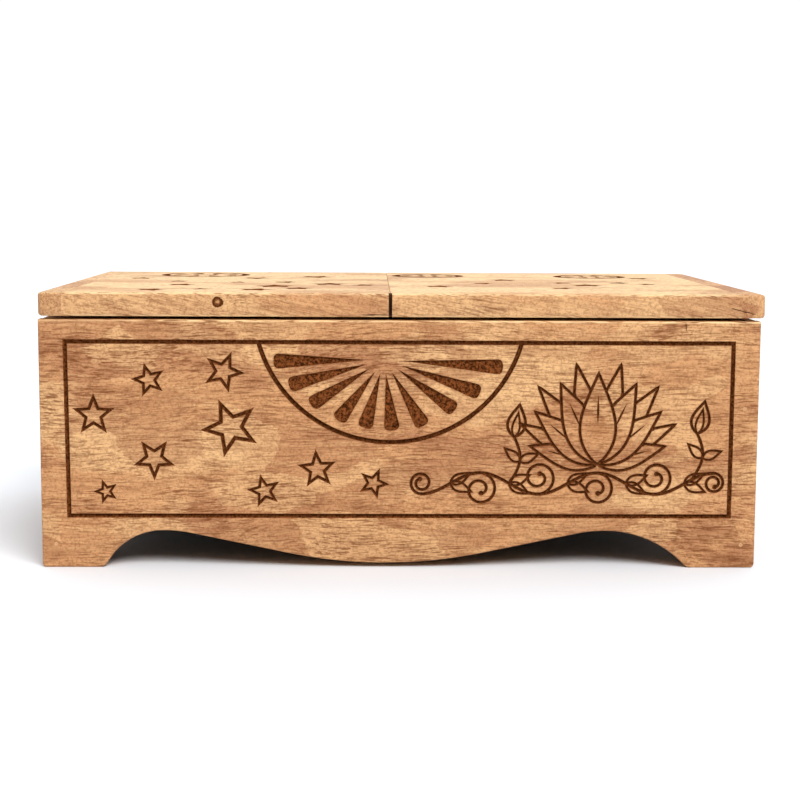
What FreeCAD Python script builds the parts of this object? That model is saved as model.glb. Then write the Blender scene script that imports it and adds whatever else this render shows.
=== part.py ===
"""Keepsake box on bracket feet, with a lid in two halves that slide apart. Sizes in millimetres.

+X runs along the length, +Y away from the carved front, +Z up. The origin is on the floor,
below the middle of the box.
"""
import FreeCAD
import Part

import math
import os

from FreeCAD import Vector

# Walls
BOX_LENGTH = 305.0
BOX_DEPTH = 190.0
WALL_HEIGHT = 106.0
PANEL_THICKNESS = 12.0       # front and back panels
END_THICKNESS = 12.0
CORNER_REBATE = 4.0          # how far each end panel is let into the front and back
WALL_ARRIS = 0.8             # bevel of the outer edges

# Scalloped apron and bracket feet
FOOT_WIDTH = 26.0
TOE_SHIFT = -1.55            # both toes of the front, from their places for equal feet
TOE_RADIUS = 3.5             # round of the foot where it leaves the floor
ARCH_HEIGHT = 16.0           # floor to the top of the arches
ARCH_RUN = 32.0              # toe to the top of a front arch, before the shifts
ARCH_RADIUS = 60.0           # front arch, on the side of the lobe
LOBE_RADIUS = 205.0
LOBE_CLEARANCE = 2.0         # floor to the lobe
SCALLOP_SHIFT = -6.5         # lobe and front arches from the middle of the panel
END_ARCH_RUN = 27.0          # toe to the flat of an end arch

# Bottom board
BOTTOM_THICKNESS = 5.0
BOTTOM_ABOVE_ARCH = 3.0
BOTTOM_GROOVE_DEPTH = 4.0
BOTTOM_CLEARANCE = 0.15

# Lid halves
LID_THICKNESS = 10.0
LID_GAP = 1.4                # wall tops to the underside of the lid
LID_ARRIS = 1.4
SEAM_X = -4.4
SEAM_WIDTH = 1.4
RIGHT_OVERHANG = 1.7
STRIP_WIDTH = 10.0           # cross strip at the outer end of each half
TONGUE_THICKNESS = 3.4       # tongue of the lid board in its strip
TONGUE_LENGTH = 4.0
TONGUE_STOP = 9.0            # end of the tongue from the edge of the lid
TONGUE_CLEARANCE = 0.1

# Runner battens under the lid
BATTEN_WIDTH = 36.0
BATTEN_INSET = 10.0          # from the seam edge of the lid
BATTEN_SIDE_GAP = 0.6        # shoulder of the batten to the wall
RUNNER_DROP = 5.0            # wall top to the top of the runner groove
RUNNER_HEIGHT = 4.5
RUNNER_REACH = 4.6           # length of each runner tongue in its groove
RUNNER_CLEARANCE = 0.25

# Batten screws
SCREW_COUNT = 3
SCREW_SPACING = 60.0
SCREW_STAGGER = 7.0          # each screw from the middle of the batten
SCREW_BITE = 6.0             # length of screw in the lid board
SCREW_DIAMETER = 3.2
SCREW_HEAD_DIAMETER = 6.4
SCREW_HEAD_HEIGHT = 2.2
SCREW_POINT = 3.0
SCREW_SLOT_WIDTH = 0.9
SCREW_SLOT_DEPTH = 1.0

# Corner brads
BRAD_COUNT = 3
BRAD_FIRST_HEIGHT = 10.0
BRAD_SPACING = 29.5
BRAD_LENGTH = 26.0
BRAD_WIDTH = 1.6             # square shank under the head
BRAD_TIP_WIDTH = 0.8
BRAD_HEAD_WIDTH = 2.4
BRAD_HEAD_HEIGHT = 0.8
BRAD_SET = 0.3               # head below the face of the panel

FASTENER_CLEARANCE = 0.05

# Carving on the front
BORDER_SIDE = 11.5           # border line from the ends of the panel
BORDER_TOP = 9.2             # border line from the wall top
BORDER_BOTTOM = 22.4         # border line from the floor
LINE_WIDTH = 1.7
LINE_DEPTH = 1.0
FAN_RADIUS = 57.6            # arc that hangs from the border's top line
FAN_DROP = 42.5              # top line to the lowest point of the arc
HUB_SHIFT = -2.5             # point that the petals aim at, from the seam
HUB_DROP = 7.3               # the same point, from the top line
HUB_HALF_WIDTH = 9.6         # bare ellipse round that point
HUB_HALF_HEIGHT = 6.3
PETALS = (                   # degrees from straight down, and reach from that point
    (-88.0, 46.5),
    (-73.5, 42.5),
    (-57.5, 37.2),
    (-37.0, 32.5),
    (-15.8, 29.8),
    (6.6, 30.5),
    (30.7, 32.9),
    (54.5, 36.9),
    (71.0, 43.0),
    (86.5, 47.0),
)
PETAL_HALF_WIDTH = 2.8
PETAL_END_BULGE = 1.7
PETAL_DEPTH = 1.2
STAR_WAIST = 0.43            # inner corners of a star, as a share of its points
STAR_LINE_WIDTH = 0.5        # line of a star with no size, and its growth with the star
STAR_LINE_GROWTH = 0.1
STAR_LINE_DEPTH = 0.7
STARS = (                    # share of the field's width and height, radius, turn of one point
    (0.123, 0.782, 7.4, 177.0),
    (0.04, 0.58, 9.1, 90.0),
    (0.235, 0.83, 8.9, -4.0),
    (0.245, 0.51, 12.6, 185.0),
    (0.13, 0.33, 9.1, -90.0),
    (0.057, 0.14, 5.3, 180.0),
    (0.295, 0.145, 7.2, 176.0),
    (0.375, 0.27, 8.4, 95.0),
    (0.46, 0.19, 6.8, -4.0),
)

CUT_PAST = 1.0               # how far cutters stand out of the wood
LINE_PAST = 0.2              # the same for carved lines
TINY = 0.001

# Places that follow from the sizes
END_X = BOX_LENGTH / 2
BACK_Y = BOX_DEPTH / 2
INNER_X = END_X - END_THICKNESS
INNER_Y = BACK_Y - PANEL_THICKNESS
END_HALF_LENGTH = INNER_Y + CORNER_REBATE
BOTTOM_Z = ARCH_HEIGHT + BOTTOM_ABOVE_ARCH
LID_Z = WALL_HEIGHT + LID_GAP
LID_MIDDLE_Z = LID_Z + LID_THICKNESS / 2
GROOVE_TOP = WALL_HEIGHT - RUNNER_DROP
RUNNER_TOP = GROOVE_TOP - RUNNER_CLEARANCE
BATTEN_Z = RUNNER_TOP - RUNNER_HEIGHT
BORDER_TOP_Z = WALL_HEIGHT - BORDER_TOP

X_AXIS = Vector(1, 0, 0)
Y_AXIS = Vector(0, 1, 0)
Z_AXIS = Vector(0, 0, 1)


def box(x_span, y_span, z_span):
    """Block between two ends along each axis, given in either order."""
    low = Vector(min(x_span), min(y_span), min(z_span))
    size = Vector(max(x_span), max(y_span), max(z_span)) - low
    return Part.makeBox(size.x, size.y, size.z, low)


def edges_where(solid, wanted):
    """Edges of a solid whose bounding box satisfies wanted."""
    return [edge for edge in solid.Edges if wanted(edge.BoundBox)]


def turned(profile):
    """Solid of revolution about Z through (radius, height) points, closed along the axis."""
    corners = [Vector(0, 0, profile[0][1])]
    corners += [Vector(radius, 0, height) for radius, height in profile]
    corners.append(Vector(0, 0, profile[-1][1]))
    return Part.Face(Part.makePolygon(corners + corners[:1])).revolve(Vector(), Z_AXIS, 360)


def ogee(start, end, start_radius, end_radius):
    """Two opposed arcs, level at both ends, with a straight between them where there is room."""
    run = end.x - start.x
    rise = end.z - start.z
    room = (run ** 2 + rise ** 2) / (2 * abs(rise)) / (start_radius + end_radius)
    start_radius *= min(1.0, room)
    end_radius *= min(1.0, room)
    both = start_radius + end_radius
    rest = both - abs(rise)
    slope = math.atan2(run, rest) - math.acos(min(1.0, both / math.hypot(run, rest)))

    def offset(radius, angle):
        return Vector(math.sin(angle), 0, math.copysign(1 - math.cos(angle), rise)) * radius

    first_end = start + offset(start_radius, slope)
    second_start = end - offset(end_radius, slope)
    edges = [Part.Arc(start, start + offset(start_radius, slope / 2), first_end).toShape()]
    if (second_start - first_end).Length > TINY:
        edges.append(Part.makeLine(first_end, second_start))
    edges.append(Part.Arc(second_start, end - offset(end_radius, slope / 2), end).toShape())
    return edges


def foot_curve(start, end):
    """Inner edge of a bracket foot, up from its toe to an arch or down from an arch to its toe."""
    run = end.x - start.x
    rise = end.z - start.z
    hollow_radius = (run ** 2 + rise ** 2) / (2 * abs(rise)) - TOE_RADIUS
    if rise > 0:
        return ogee(start, end, TOE_RADIUS, hollow_radius)
    return ogee(start, end, hollow_radius, TOE_RADIUS)


def board(half_length, left_toe, right_toe, arch_edges, thickness):
    """Wall board with its outer face at y = 0: two feet, and the given edges between their toes."""
    corners = [
        Vector(right_toe, 0, 0),
        Vector(half_length, 0, 0),
        Vector(half_length, 0, WALL_HEIGHT),
        Vector(-half_length, 0, WALL_HEIGHT),
        Vector(-half_length, 0, 0),
        Vector(left_toe, 0, 0),
    ]
    sides = [Part.makeLine(*pair) for pair in zip(corners, corners[1:])]
    return Part.Face(Part.Wire(arch_edges + sides)).extrude(Y_AXIS * thickness)


def square(half_width, y):
    """Square outline about the Y axis."""
    corners = [Vector(x * half_width, y, z * half_width) for x, z in ((-1, -1), (1, -1), (1, 1), (-1, 1))]
    return Part.makePolygon(corners + corners[:1])


def brad_row(side, grow=0.0, head_lift=0.0):
    """Tapered cut brads at one corner of a panel whose outer face is at y = 0.

    Grown ones cut the holes, and a lifted head opens a hole to the face of the panel.
    """
    shank_ends = [square(BRAD_WIDTH / 2 + grow, 0), square(BRAD_TIP_WIDTH / 2 + grow, BRAD_LENGTH + grow)]
    head_ends = [square(BRAD_HEAD_WIDTH / 2 + grow, y) for y in (-head_lift, BRAD_HEAD_HEIGHT + grow)]
    shank = Part.makeLoft(shank_ends, True, True)
    brad = Part.makeLoft(head_ends, True, True).fuse(shank).removeSplitter()
    x = side * (END_X - END_THICKNESS / 2)
    heights = [BRAD_FIRST_HEIGHT + BRAD_SPACING * index for index in range(BRAD_COUNT)]
    return [brad.translated(Vector(x, BRAD_SET, z)) for z in heights]


def to_front(shape):
    """Move a shape from the panel frame to the front wall."""
    return shape.translated(Vector(0, -BACK_Y, 0))


def to_back(shape):
    """Turn a shape from the panel frame round to the back wall."""
    return shape.rotated(Vector(), Z_AXIS, 180).translated(Vector(0, BACK_Y, 0))


def long_panel():
    """Front or back before carving: scalloped apron, bevelled outer edges, rebates and grooves."""
    toe_x = END_X - FOOT_WIDTH
    left_toe = Vector(TOE_SHIFT - toe_x, 0, 0)
    right_toe = Vector(TOE_SHIFT + toe_x, 0, 0)
    left_arch = Vector(SCALLOP_SHIFT - toe_x + ARCH_RUN, 0, ARCH_HEIGHT)
    right_arch = Vector(SCALLOP_SHIFT + toe_x - ARCH_RUN, 0, ARCH_HEIGHT)
    lobe = Vector(SCALLOP_SHIFT, 0, LOBE_CLEARANCE)
    apron = foot_curve(left_toe, left_arch)
    apron += ogee(left_arch, lobe, ARCH_RADIUS, LOBE_RADIUS)
    apron += ogee(lobe, right_arch, LOBE_RADIUS, ARCH_RADIUS)
    apron += foot_curve(right_arch, right_toe)
    panel = board(END_X, left_toe.x, right_toe.x, apron, PANEL_THICKNESS)

    def is_outer(bound):
        return bound.YMax < TINY or abs(bound.XMin) > END_X - TINY and bound.YLength > TINY

    panel = panel.makeChamfer(WALL_ARRIS, edges_where(panel, is_outer))

    past = PANEL_THICKNESS + CUT_PAST
    bottom_end = INNER_X + BOTTOM_GROOVE_DEPTH
    bottom_top = BOTTOM_Z + BOTTOM_THICKNESS
    runner_floor = PANEL_THICKNESS - RUNNER_REACH - RUNNER_CLEARANCE
    cutters = [
        box(
            (-bottom_end, bottom_end),
            (PANEL_THICKNESS - BOTTOM_GROOVE_DEPTH, past),
            (BOTTOM_Z - BOTTOM_CLEARANCE, bottom_top + BOTTOM_CLEARANCE),
        ),
        box((-INNER_X, INNER_X), (runner_floor, past), (BATTEN_Z - RUNNER_CLEARANCE, GROOVE_TOP)),
    ]
    for side in (-1, 1):
        cutters.append(box(
            (side * INNER_X, side * (END_X + CUT_PAST)),
            (PANEL_THICKNESS - CORNER_REBATE, past),
            (-CUT_PAST, WALL_HEIGHT + CUT_PAST),
        ))
        cutters += brad_row(side, FASTENER_CLEARANCE, BRAD_SET + CUT_PAST)
    return panel.cut(cutters)


def mitred(corners, distance, y):
    """Closed outline moved outwards by a distance, at depth y; corners run anticlockwise."""
    moved = []
    for before, here, after in zip(corners[-1:] + corners[:-1], corners, corners[1:] + corners[:1]):
        arriving = (here - before).normalize().cross(Y_AXIS)
        leaving = (after - here).normalize().cross(Y_AXIS)
        shift = (arriving + leaving) * (distance / (1 + arriving.dot(leaving)))
        moved.append(here - shift + Y_AXIS * y)
    return Part.makePolygon(moved + moved[:1])


def ring_groove(corners, width, depth):
    """V-shaped carved line along a closed outline, with mitred corners."""
    proud_half = width / 2 * (1 + LINE_PAST / depth)
    keel = mitred(corners, 0.0, depth)
    outside = Part.makeLoft([mitred(corners, proud_half, -LINE_PAST), keel], True, True)
    inside = Part.makeLoft([mitred(corners, -proud_half, -LINE_PAST), keel], True, True)
    return outside.cut(inside)


def border_groove():
    """Line round the carved field."""
    half_length = END_X - BORDER_SIDE
    corners = [
        Vector(-half_length, 0, BORDER_BOTTOM),
        Vector(half_length, 0, BORDER_BOTTOM),
        Vector(half_length, 0, BORDER_TOP_Z),
        Vector(-half_length, 0, BORDER_TOP_Z),
    ]
    return ring_groove(corners, LINE_WIDTH, LINE_DEPTH)


def star_groove(across, up, radius, turn):
    """Outline of a five-pointed star; the radius reaches to the mitred tips of its line."""
    field_length = BOX_LENGTH - 2 * BORDER_SIDE
    field_height = BORDER_TOP_Z - BORDER_BOTTOM
    centre = Vector((across - 0.5) * field_length, 0, BORDER_BOTTOM + up * field_height)
    width = STAR_LINE_WIDTH + STAR_LINE_GROWTH * radius
    step = math.pi / 5
    half_tip = math.atan2(STAR_WAIST * math.sin(step), 1 - STAR_WAIST * math.cos(step))
    point_radius = radius - width / 2 / math.sin(half_tip)
    corners = []
    for index in range(10):
        angle = math.radians(turn) + step * index
        reach = point_radius * (STAR_WAIST if index % 2 else 1.0)
        corners.append(centre + Vector(math.cos(angle), 0, math.sin(angle)) * reach)
    return ring_groove(corners, width, STAR_LINE_DEPTH)


def fan_groove():
    """V-shaped arc that hangs from the top line of the border."""
    centre = Vector(SEAM_X, 0, BORDER_TOP_Z - FAN_DROP + FAN_RADIUS)
    proud_half = LINE_WIDTH / 2 * (1 + LINE_PAST / LINE_DEPTH)
    lowest = centre - Z_AXIS * FAN_RADIUS
    corners = [
        lowest + Vector(0, -LINE_PAST, -proud_half),
        lowest + Vector(0, -LINE_PAST, proud_half),
        lowest + Vector(0, LINE_DEPTH, 0),
    ]
    section = Part.Face(Part.makePolygon(corners + corners[:1]))
    half_angle = math.degrees(math.acos(1 - FAN_DROP / FAN_RADIUS))
    section.rotate(centre, Y_AXIS, -half_angle)
    return section.revolve(centre, Y_AXIS, 2 * half_angle)


def petal_pocket(angle, reach):
    """Tear-shaped pocket that points at the hub; the angle is from straight down, in radians."""
    hub = Vector(SEAM_X + HUB_SHIFT, 0, BORDER_TOP_Z - HUB_DROP)
    along = Vector(math.sin(angle), 0, -math.cos(angle))
    across = Vector(math.cos(angle), 0, math.sin(angle)) * PETAL_HALF_WIDTH
    tip = hub + along / math.hypot(along.x / HUB_HALF_WIDTH, along.z / HUB_HALF_HEIGHT)
    shoulder = hub + along * (reach - PETAL_END_BULGE)
    outline = Part.Wire([
        Part.makeLine(tip, shoulder - across),
        Part.Arc(shoulder - across, hub + along * reach, shoulder + across).toShape(),
        Part.makeLine(shoulder + across, tip),
    ])
    pocket = Part.Face(outline).extrude(Y_AXIS * (CUT_PAST + PETAL_DEPTH))
    return pocket.translated(Y_AXIS * -CUT_PAST)


def front_panel():
    """Carved front: border line, hanging fan with its petals, and stars."""
    cutters = [border_groove(), fan_groove()]
    cutters += [star_groove(*star) for star in STARS]
    cutters += [petal_pocket(math.radians(degrees), reach) for degrees, reach in PETALS]
    return to_front(long_panel().cut(cutters))


def end_panel(side):
    """Plain end wall with an arched bottom edge, seated in the rebates of the long panels."""
    toe_x = BACK_Y - FOOT_WIDTH
    flat_x = toe_x - END_ARCH_RUN
    arch = foot_curve(Vector(-toe_x, 0, 0), Vector(-flat_x, 0, ARCH_HEIGHT))
    arch.append(Part.makeLine(Vector(-flat_x, 0, ARCH_HEIGHT), Vector(flat_x, 0, ARCH_HEIGHT)))
    arch += foot_curve(Vector(flat_x, 0, ARCH_HEIGHT), Vector(toe_x, 0, 0))
    panel = board(END_HALF_LENGTH, -toe_x, toe_x, arch, END_THICKNESS)
    outer_edges = edges_where(panel, lambda bound: bound.YMax < TINY < bound.XLength)
    panel = panel.makeChamfer(WALL_ARRIS, outer_edges)
    groove = box(
        (-BACK_Y, BACK_Y),
        (END_THICKNESS - BOTTOM_GROOVE_DEPTH, END_THICKNESS + CUT_PAST),
        (BOTTOM_Z - BOTTOM_CLEARANCE, BOTTOM_Z + BOTTOM_THICKNESS + BOTTOM_CLEARANCE),
    )
    panel = panel.cut(groove).rotated(Vector(), Z_AXIS, 90 * side).translated(X_AXIS * (side * END_X))
    holes = [to_front(hole) for hole in brad_row(side, FASTENER_CLEARANCE)]
    holes += [to_back(hole) for hole in brad_row(-side, FASTENER_CLEARANCE)]
    return panel.cut(holes)


def bottom_board():
    """Loose bottom in the grooves of all four walls."""
    reach = BOTTOM_GROOVE_DEPTH - BOTTOM_CLEARANCE
    half_length = INNER_X + reach
    half_depth = INNER_Y + reach
    return box((-half_length, half_length), (-half_depth, half_depth), (BOTTOM_Z, BOTTOM_Z + BOTTOM_THICKNESS))


def screw_row(batten_x, grow=0.0):
    """Countersunk screws up through a batten into its lid board; grown ones cut the holes."""
    shank = SCREW_DIAMETER / 2 + grow
    length = LID_Z - BATTEN_Z + SCREW_BITE
    screw = turned([
        (SCREW_HEAD_DIAMETER / 2 + grow, -grow),
        (shank, SCREW_HEAD_HEIGHT),
        (shank, length - SCREW_POINT),
        (grow, length + grow),
    ])
    if not grow:
        half_slot = SCREW_SLOT_WIDTH / 2
        slot_length = (-SCREW_HEAD_DIAMETER, SCREW_HEAD_DIAMETER)
        screw = screw.cut(box((-half_slot, half_slot), slot_length, (-CUT_PAST, SCREW_SLOT_DEPTH)))
    row = []
    for index in range(SCREW_COUNT):
        x = batten_x + SCREW_STAGGER * (-1) ** index
        y = SCREW_SPACING * (index - (SCREW_COUNT - 1) / 2)
        row.append(screw.translated(Vector(x, y, BATTEN_Z)))
    return row


def lid_half(name, seam_edge, outer_edge):
    """All pieces of one lid half, by node name."""
    way = math.copysign(1.0, outer_edge - seam_edge)
    joint = outer_edge - way * STRIP_WIDTH

    def rounded(x_span):
        blank = box(x_span, (-BACK_Y, BACK_Y), (LID_Z, LID_Z + LID_THICKNESS))

        def is_free(bound):
            return bound.ZLength < TINY and (bound.XLength > TINY or abs(bound.XMin - joint) > TINY)

        return blank.makeFillet(LID_ARRIS, edges_where(blank, is_free))

    def tongue(clearance):
        half_depth = BACK_Y - TONGUE_STOP + clearance
        half_height = TONGUE_THICKNESS / 2 + clearance
        return box(
            (joint - way * CUT_PAST, joint + way * (TONGUE_LENGTH + clearance)),
            (-half_depth, half_depth),
            (LID_MIDDLE_Z - half_height, LID_MIDDLE_Z + half_height),
        )

    batten_span = [seam_edge + way * inset for inset in (BATTEN_INSET, BATTEN_INSET + BATTEN_WIDTH)]
    batten_x = sum(batten_span) / 2
    runner_y = INNER_Y + RUNNER_REACH
    shoulder_y = INNER_Y - BATTEN_SIDE_GAP
    runner = box(batten_span, (-runner_y, runner_y), (BATTEN_Z, RUNNER_TOP))
    block = box(batten_span, (-shoulder_y, shoulder_y), (BATTEN_Z, LID_Z))
    holes = screw_row(batten_x, FASTENER_CLEARANCE)

    return {
        f"{name}_lid_board": rounded((seam_edge, joint)).fuse(tongue(0.0)).cut(holes).removeSplitter(),
        f"{name}_lid_end_strip": rounded((joint, outer_edge)).cut(tongue(TONGUE_CLEARANCE)),
        f"{name}_lid_batten": block.fuse(runner).removeSplitter().cut(holes),
        f"{name}_batten_screws": Part.makeCompound(screw_row(batten_x)),
    }


def all_pieces():
    """Every piece of the box, by node name."""
    pieces = {
        "front_panel": front_panel(),
        "back_panel": to_back(long_panel()),
        "left_end_panel": end_panel(-1),
        "right_end_panel": end_panel(1),
        "bottom_board": bottom_board(),
    }
    for name, side in (("left", -1), ("right", 1)):
        pieces[f"front_{name}_brads"] = Part.makeCompound([to_front(brad) for brad in brad_row(side)])
        pieces[f"back_{name}_brads"] = Part.makeCompound([to_back(brad) for brad in brad_row(-side)])
    pieces.update(lid_half("left", SEAM_X - SEAM_WIDTH / 2, -END_X))
    pieces.update(lid_half("right", SEAM_X + SEAM_WIDTH / 2, END_X + RIGHT_OVERHANG))
    return pieces


os.makedirs("parts", exist_ok=True)
for node, piece in all_pieces().items():
    if not piece.isValid():
        raise ValueError(f"{node} is not a valid solid")
    piece.exportStep(f"parts/{node}.step")
    print(node, len(piece.Solids), round(piece.Volume))
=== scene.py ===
"""Finished pieces of a keepsake box with a sliding lid: carved front and lid, and the wood of every board.

Outlines and carving are laid out in millimetres; objects are in metres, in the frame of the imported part.
"""

import math
from dataclasses import dataclass

import bmesh
import bpy
import numpy as np
from bpy.props import FloatProperty, FloatVectorProperty, PointerProperty
from bpy.types import Operator, Panel, PropertyGroup
from mathutils import Matrix, Vector
from mathutils.geometry import delaunay_2d_cdt


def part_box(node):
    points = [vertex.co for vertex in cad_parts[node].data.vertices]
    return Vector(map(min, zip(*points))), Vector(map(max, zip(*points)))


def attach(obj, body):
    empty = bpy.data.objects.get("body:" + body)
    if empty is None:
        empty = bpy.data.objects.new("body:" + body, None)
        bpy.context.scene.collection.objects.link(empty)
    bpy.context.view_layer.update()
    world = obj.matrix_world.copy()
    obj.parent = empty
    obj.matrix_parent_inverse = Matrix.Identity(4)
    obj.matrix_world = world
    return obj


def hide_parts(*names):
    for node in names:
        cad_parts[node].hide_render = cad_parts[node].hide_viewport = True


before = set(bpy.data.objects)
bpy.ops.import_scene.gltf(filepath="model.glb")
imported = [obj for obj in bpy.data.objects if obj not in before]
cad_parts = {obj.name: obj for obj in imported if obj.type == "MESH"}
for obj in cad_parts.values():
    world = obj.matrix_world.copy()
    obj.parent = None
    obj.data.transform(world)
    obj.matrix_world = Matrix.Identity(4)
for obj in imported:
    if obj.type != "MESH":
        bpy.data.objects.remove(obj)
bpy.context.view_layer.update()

bl_info = {
    "name": "Carved Keepsake Box",
    "version": (1, 0, 0),
    "blender": (4, 5, 0),
    "location": "3D View > Sidebar > Keepsake Box",
    "description": "Carved and finished pieces of a keepsake box with a sliding lid",
    "category": "Object",
}

MM = 0.001


def corners_in_mm(node):
    """Lowest and highest corner of a node, in millimetres."""
    return [np.array(corner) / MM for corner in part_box(node)]


# Places that come from the frame
FRONT_LOW, FRONT_HIGH = corners_in_mm("front_panel")
END_LOW = corners_in_mm("right_end_panel")[0]
BOTTOM_LOW, BOTTOM_HIGH = corners_in_mm("bottom_board")
BATTEN_LOW = corners_in_mm("left_lid_batten")[0]
HALF_LENGTH = FRONT_HIGH[0]
WALL_TOP = FRONT_HIGH[2]
FRONT_Y = FRONT_LOW[1]
PANEL_THICKNESS = FRONT_HIGH[1] - FRONT_LOW[1]
INNER_X = END_LOW[0]
REBATE_Y = END_LOW[1]
LID_LOW = corners_in_mm("left_lid_board")[0][2]
LEFT_SEAM, LID_EDGE_Y, LID_TOP = corners_in_mm("left_lid_board")[1]
RIGHT_SEAM = corners_in_mm("right_lid_board")[0][0]
LID_THICKNESS = LID_TOP - LID_LOW
SEAM_X = (LEFT_SEAM + RIGHT_SEAM) / 2

# Ends of each lid half: its board at the seam, the joint of board and end strip, the strip's outer end
LEFT_END, LEFT_JOINT = (corner[0] for corner in corners_in_mm("left_lid_end_strip"))
RIGHT_JOINT, RIGHT_END = (corner[0] for corner in corners_in_mm("right_lid_end_strip"))
LID_HALVES = {
    "left": (LEFT_SEAM, LEFT_JOINT, LEFT_END),
    "right": (RIGHT_SEAM, RIGHT_JOINT, RIGHT_END),
}

# Scalloped apron and bracket feet
FOOT_WIDTH = 26.0
TOE_SHIFT = -1.55
TOE_RADIUS = 3.5
HEEL_RADIUS = 1.8
ARCH_HEIGHT = 16.0
ARCH_RUN = 32.0
ARCH_RADIUS = 60.0
LOBE_RADIUS = 205.0
LOBE_CLEARANCE = 2.0
SCALLOP_SHIFT = -6.5

# Steps along curves, and points of the smaller carved forms
OGEE_STEPS = 10
CORNER_STEPS = 5
ROUND_STEPS = 4              # across a rounded edge
FAN_STEPS = 72
RING_STEPS = 48
BUD_STEPS = 12
PETAL_END_POINTS = 15
FLOWER_PETAL_POINTS = 30
VEIN_POINTS = 6
CURL_POINTS = 46
STEM_POINTS = 90
STALK_POINTS = 20
LEAF_POINTS = 12
BUD_POINTS = 16

# Hidden joinery
GROOVE_CLEARANCE = 0.15
RUNNER_CLEARANCE = 0.25
RUNNER_DROP = 5.0
TONGUE_LENGTH = 4.0
TONGUE_HALF_THICKNESS = 1.7
TONGUE_STOP = 9.0
TONGUE_CLEARANCE = 0.1
CUT_PAST = 1.0

# Meshes: how near counts as the same place, and the angle from which an edge stays sharp
TOUCHING = 0.001
WELD = 0.0001
SAME_POINT = 0.00001
SHARP_ANGLE = math.radians(32)
INSIDE_OUTLINE = 1           # kind of triangulation that keeps to the inside of its outline

# Carved field of the front
BORDER_SIDE = 11.5
BORDER_TOP = 9.2
BORDER_BOTTOM = 22.4
BORDER_LEAN = 0.3            # by how much the left side of the border leans out at its top
FIELD_X = HALF_LENGTH - BORDER_SIDE
FIELD_TOP = WALL_TOP - BORDER_TOP
FIELD_HEIGHT = FIELD_TOP - BORDER_BOTTOM
FAN_RADIUS = 57.6
FAN_DROP = 42.5
FAN_CENTRE = np.array((SEAM_X, FIELD_TOP - FAN_DROP + FAN_RADIUS))
HUB = np.array((SEAM_X - 2.5, FIELD_TOP - 7.3))
HUB_HALF_WIDTH = 7.8
HUB_HALF_HEIGHT = 5.8
PETALS = (                   # degrees from straight down, and reach from the hub
    (-89.0, 46.8),
    (-74.8, 41.8),
    (-58.3, 36.6),
    (-37.0, 32.5),
    (-15.8, 30.4),
    (6.6, 30.5),
    (30.7, 32.9),
    (54.5, 36.9),
    (71.0, 43.0),
    (86.5, 50.3),
)
PETAL_HALF_WIDTH = 3.2
PETAL_END_BULGE = 2.3
PETAL_END_POWER = 0.8        # below one, the rounded end is squarer
STAR_WAIST = 0.43
STAR_LINE_WIDTH = 0.6        # fixed part of the width of a star's line
STAR_LINE_GROWTH = 0.085     # part that grows with the star's radius
STARS = (                    # share of the field's width and height, radius, turn of one point
    (0.123, 0.782, 7.8, 177.0),
    (0.04, 0.58, 9.6, 90.0),
    (0.235, 0.83, 9.4, -4.0),
    (0.245, 0.51, 13.3, 185.0),
    (0.13, 0.33, 9.6, -90.0),
    (0.057, 0.14, 5.7, 180.0),
    (0.295, 0.145, 7.7, 176.0),
    (0.375, 0.27, 8.9, 95.0),
    (0.46, 0.19, 7.2, -4.0),
)

# Sides, floors and scorched rims of the carving
MITRE_LIMIT = 0.4
TAPER_END = 0.02             # share of the width that is left at the end of a tapered line
LINE_FLOOR = 0.42            # flat share of a line's width
LINE_SCORCH = 0.4
POCKET_SCORCH = 0.8
POCKET_FLOOR_SCORCH = 0.5
POCKET_WALL = 0.4
POCKET_GRAIN = 0.8
POCKET_JITTER = 0.3          # share of the grain
POCKET_SHALLOWEST = 0.5      # share of the depth

# Flower and running vine
VINE_WAVE = 50.0
VINE_HEIGHT = 36.6
VINE_SWING = 4.6
FLOWER_X = 84.0
FLOWER_BASE = 45.0
FLOWER_PETALS = (            # lean from upright in degrees, length, width; nearer petals first
    (0.0, 39.0, 17.0),
    (25.0, 38.0, 16.0),
    (50.0, 35.0, 14.5),
    (75.0, 30.0, 12.0),
    (12.5, 44.0, 13.0),
    (37.5, 42.0, 12.5),
    (62.5, 37.5, 11.0),
)
FRONT_PETALS = 4             # the first ones, which have a vein
VEIN_SPAN = (0.42, 0.78)     # share of the petal's length
VEIN_TAPER = 6.0
CURL_RADIUS = 7.2
FIRST_CURL_RADIUS = 4.8
LAST_CURL_RADIUS = 4.4
CURL_END_RADIUS = 1.7
CURL_BUD_RADIUS = 1.15
CURL_TURNS = 1.45
CURL_POWER = 0.85            # below one, the curl winds in faster at its end
LEAF_BELLY = 0.8             # below one, a leaf is widest nearer to its base
LEAF_NARROWING = 0.25        # towards its tip
VINE_LEAF = (9.5, 4.6)       # length and width
VINE_LEAF_LEANS = (62, 112)
STEM_LINE = 1.15             # share of the width of the other lines
FULL_LINE = (1.0, 1.0)       # shares of the width and of the depth
LEAF_LINE = (0.85, 0.9)
FINE_LINE = (0.75, 0.8)
STALKS = ((-37.5, 9.0), (40.5, 12.0))    # place from the flower, and lean of the bud in degrees
STALK_BOW = 3.5
STALK_RUN = 2.0
STALK_HEIGHT = 20.0
STALK_LEAF = (8.5, 4.2)
STALK_LEAF_LEAN = 58.0
BUD = (14.0, 8.5)
BUD_HEART = (10.5, 3.6)

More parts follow.
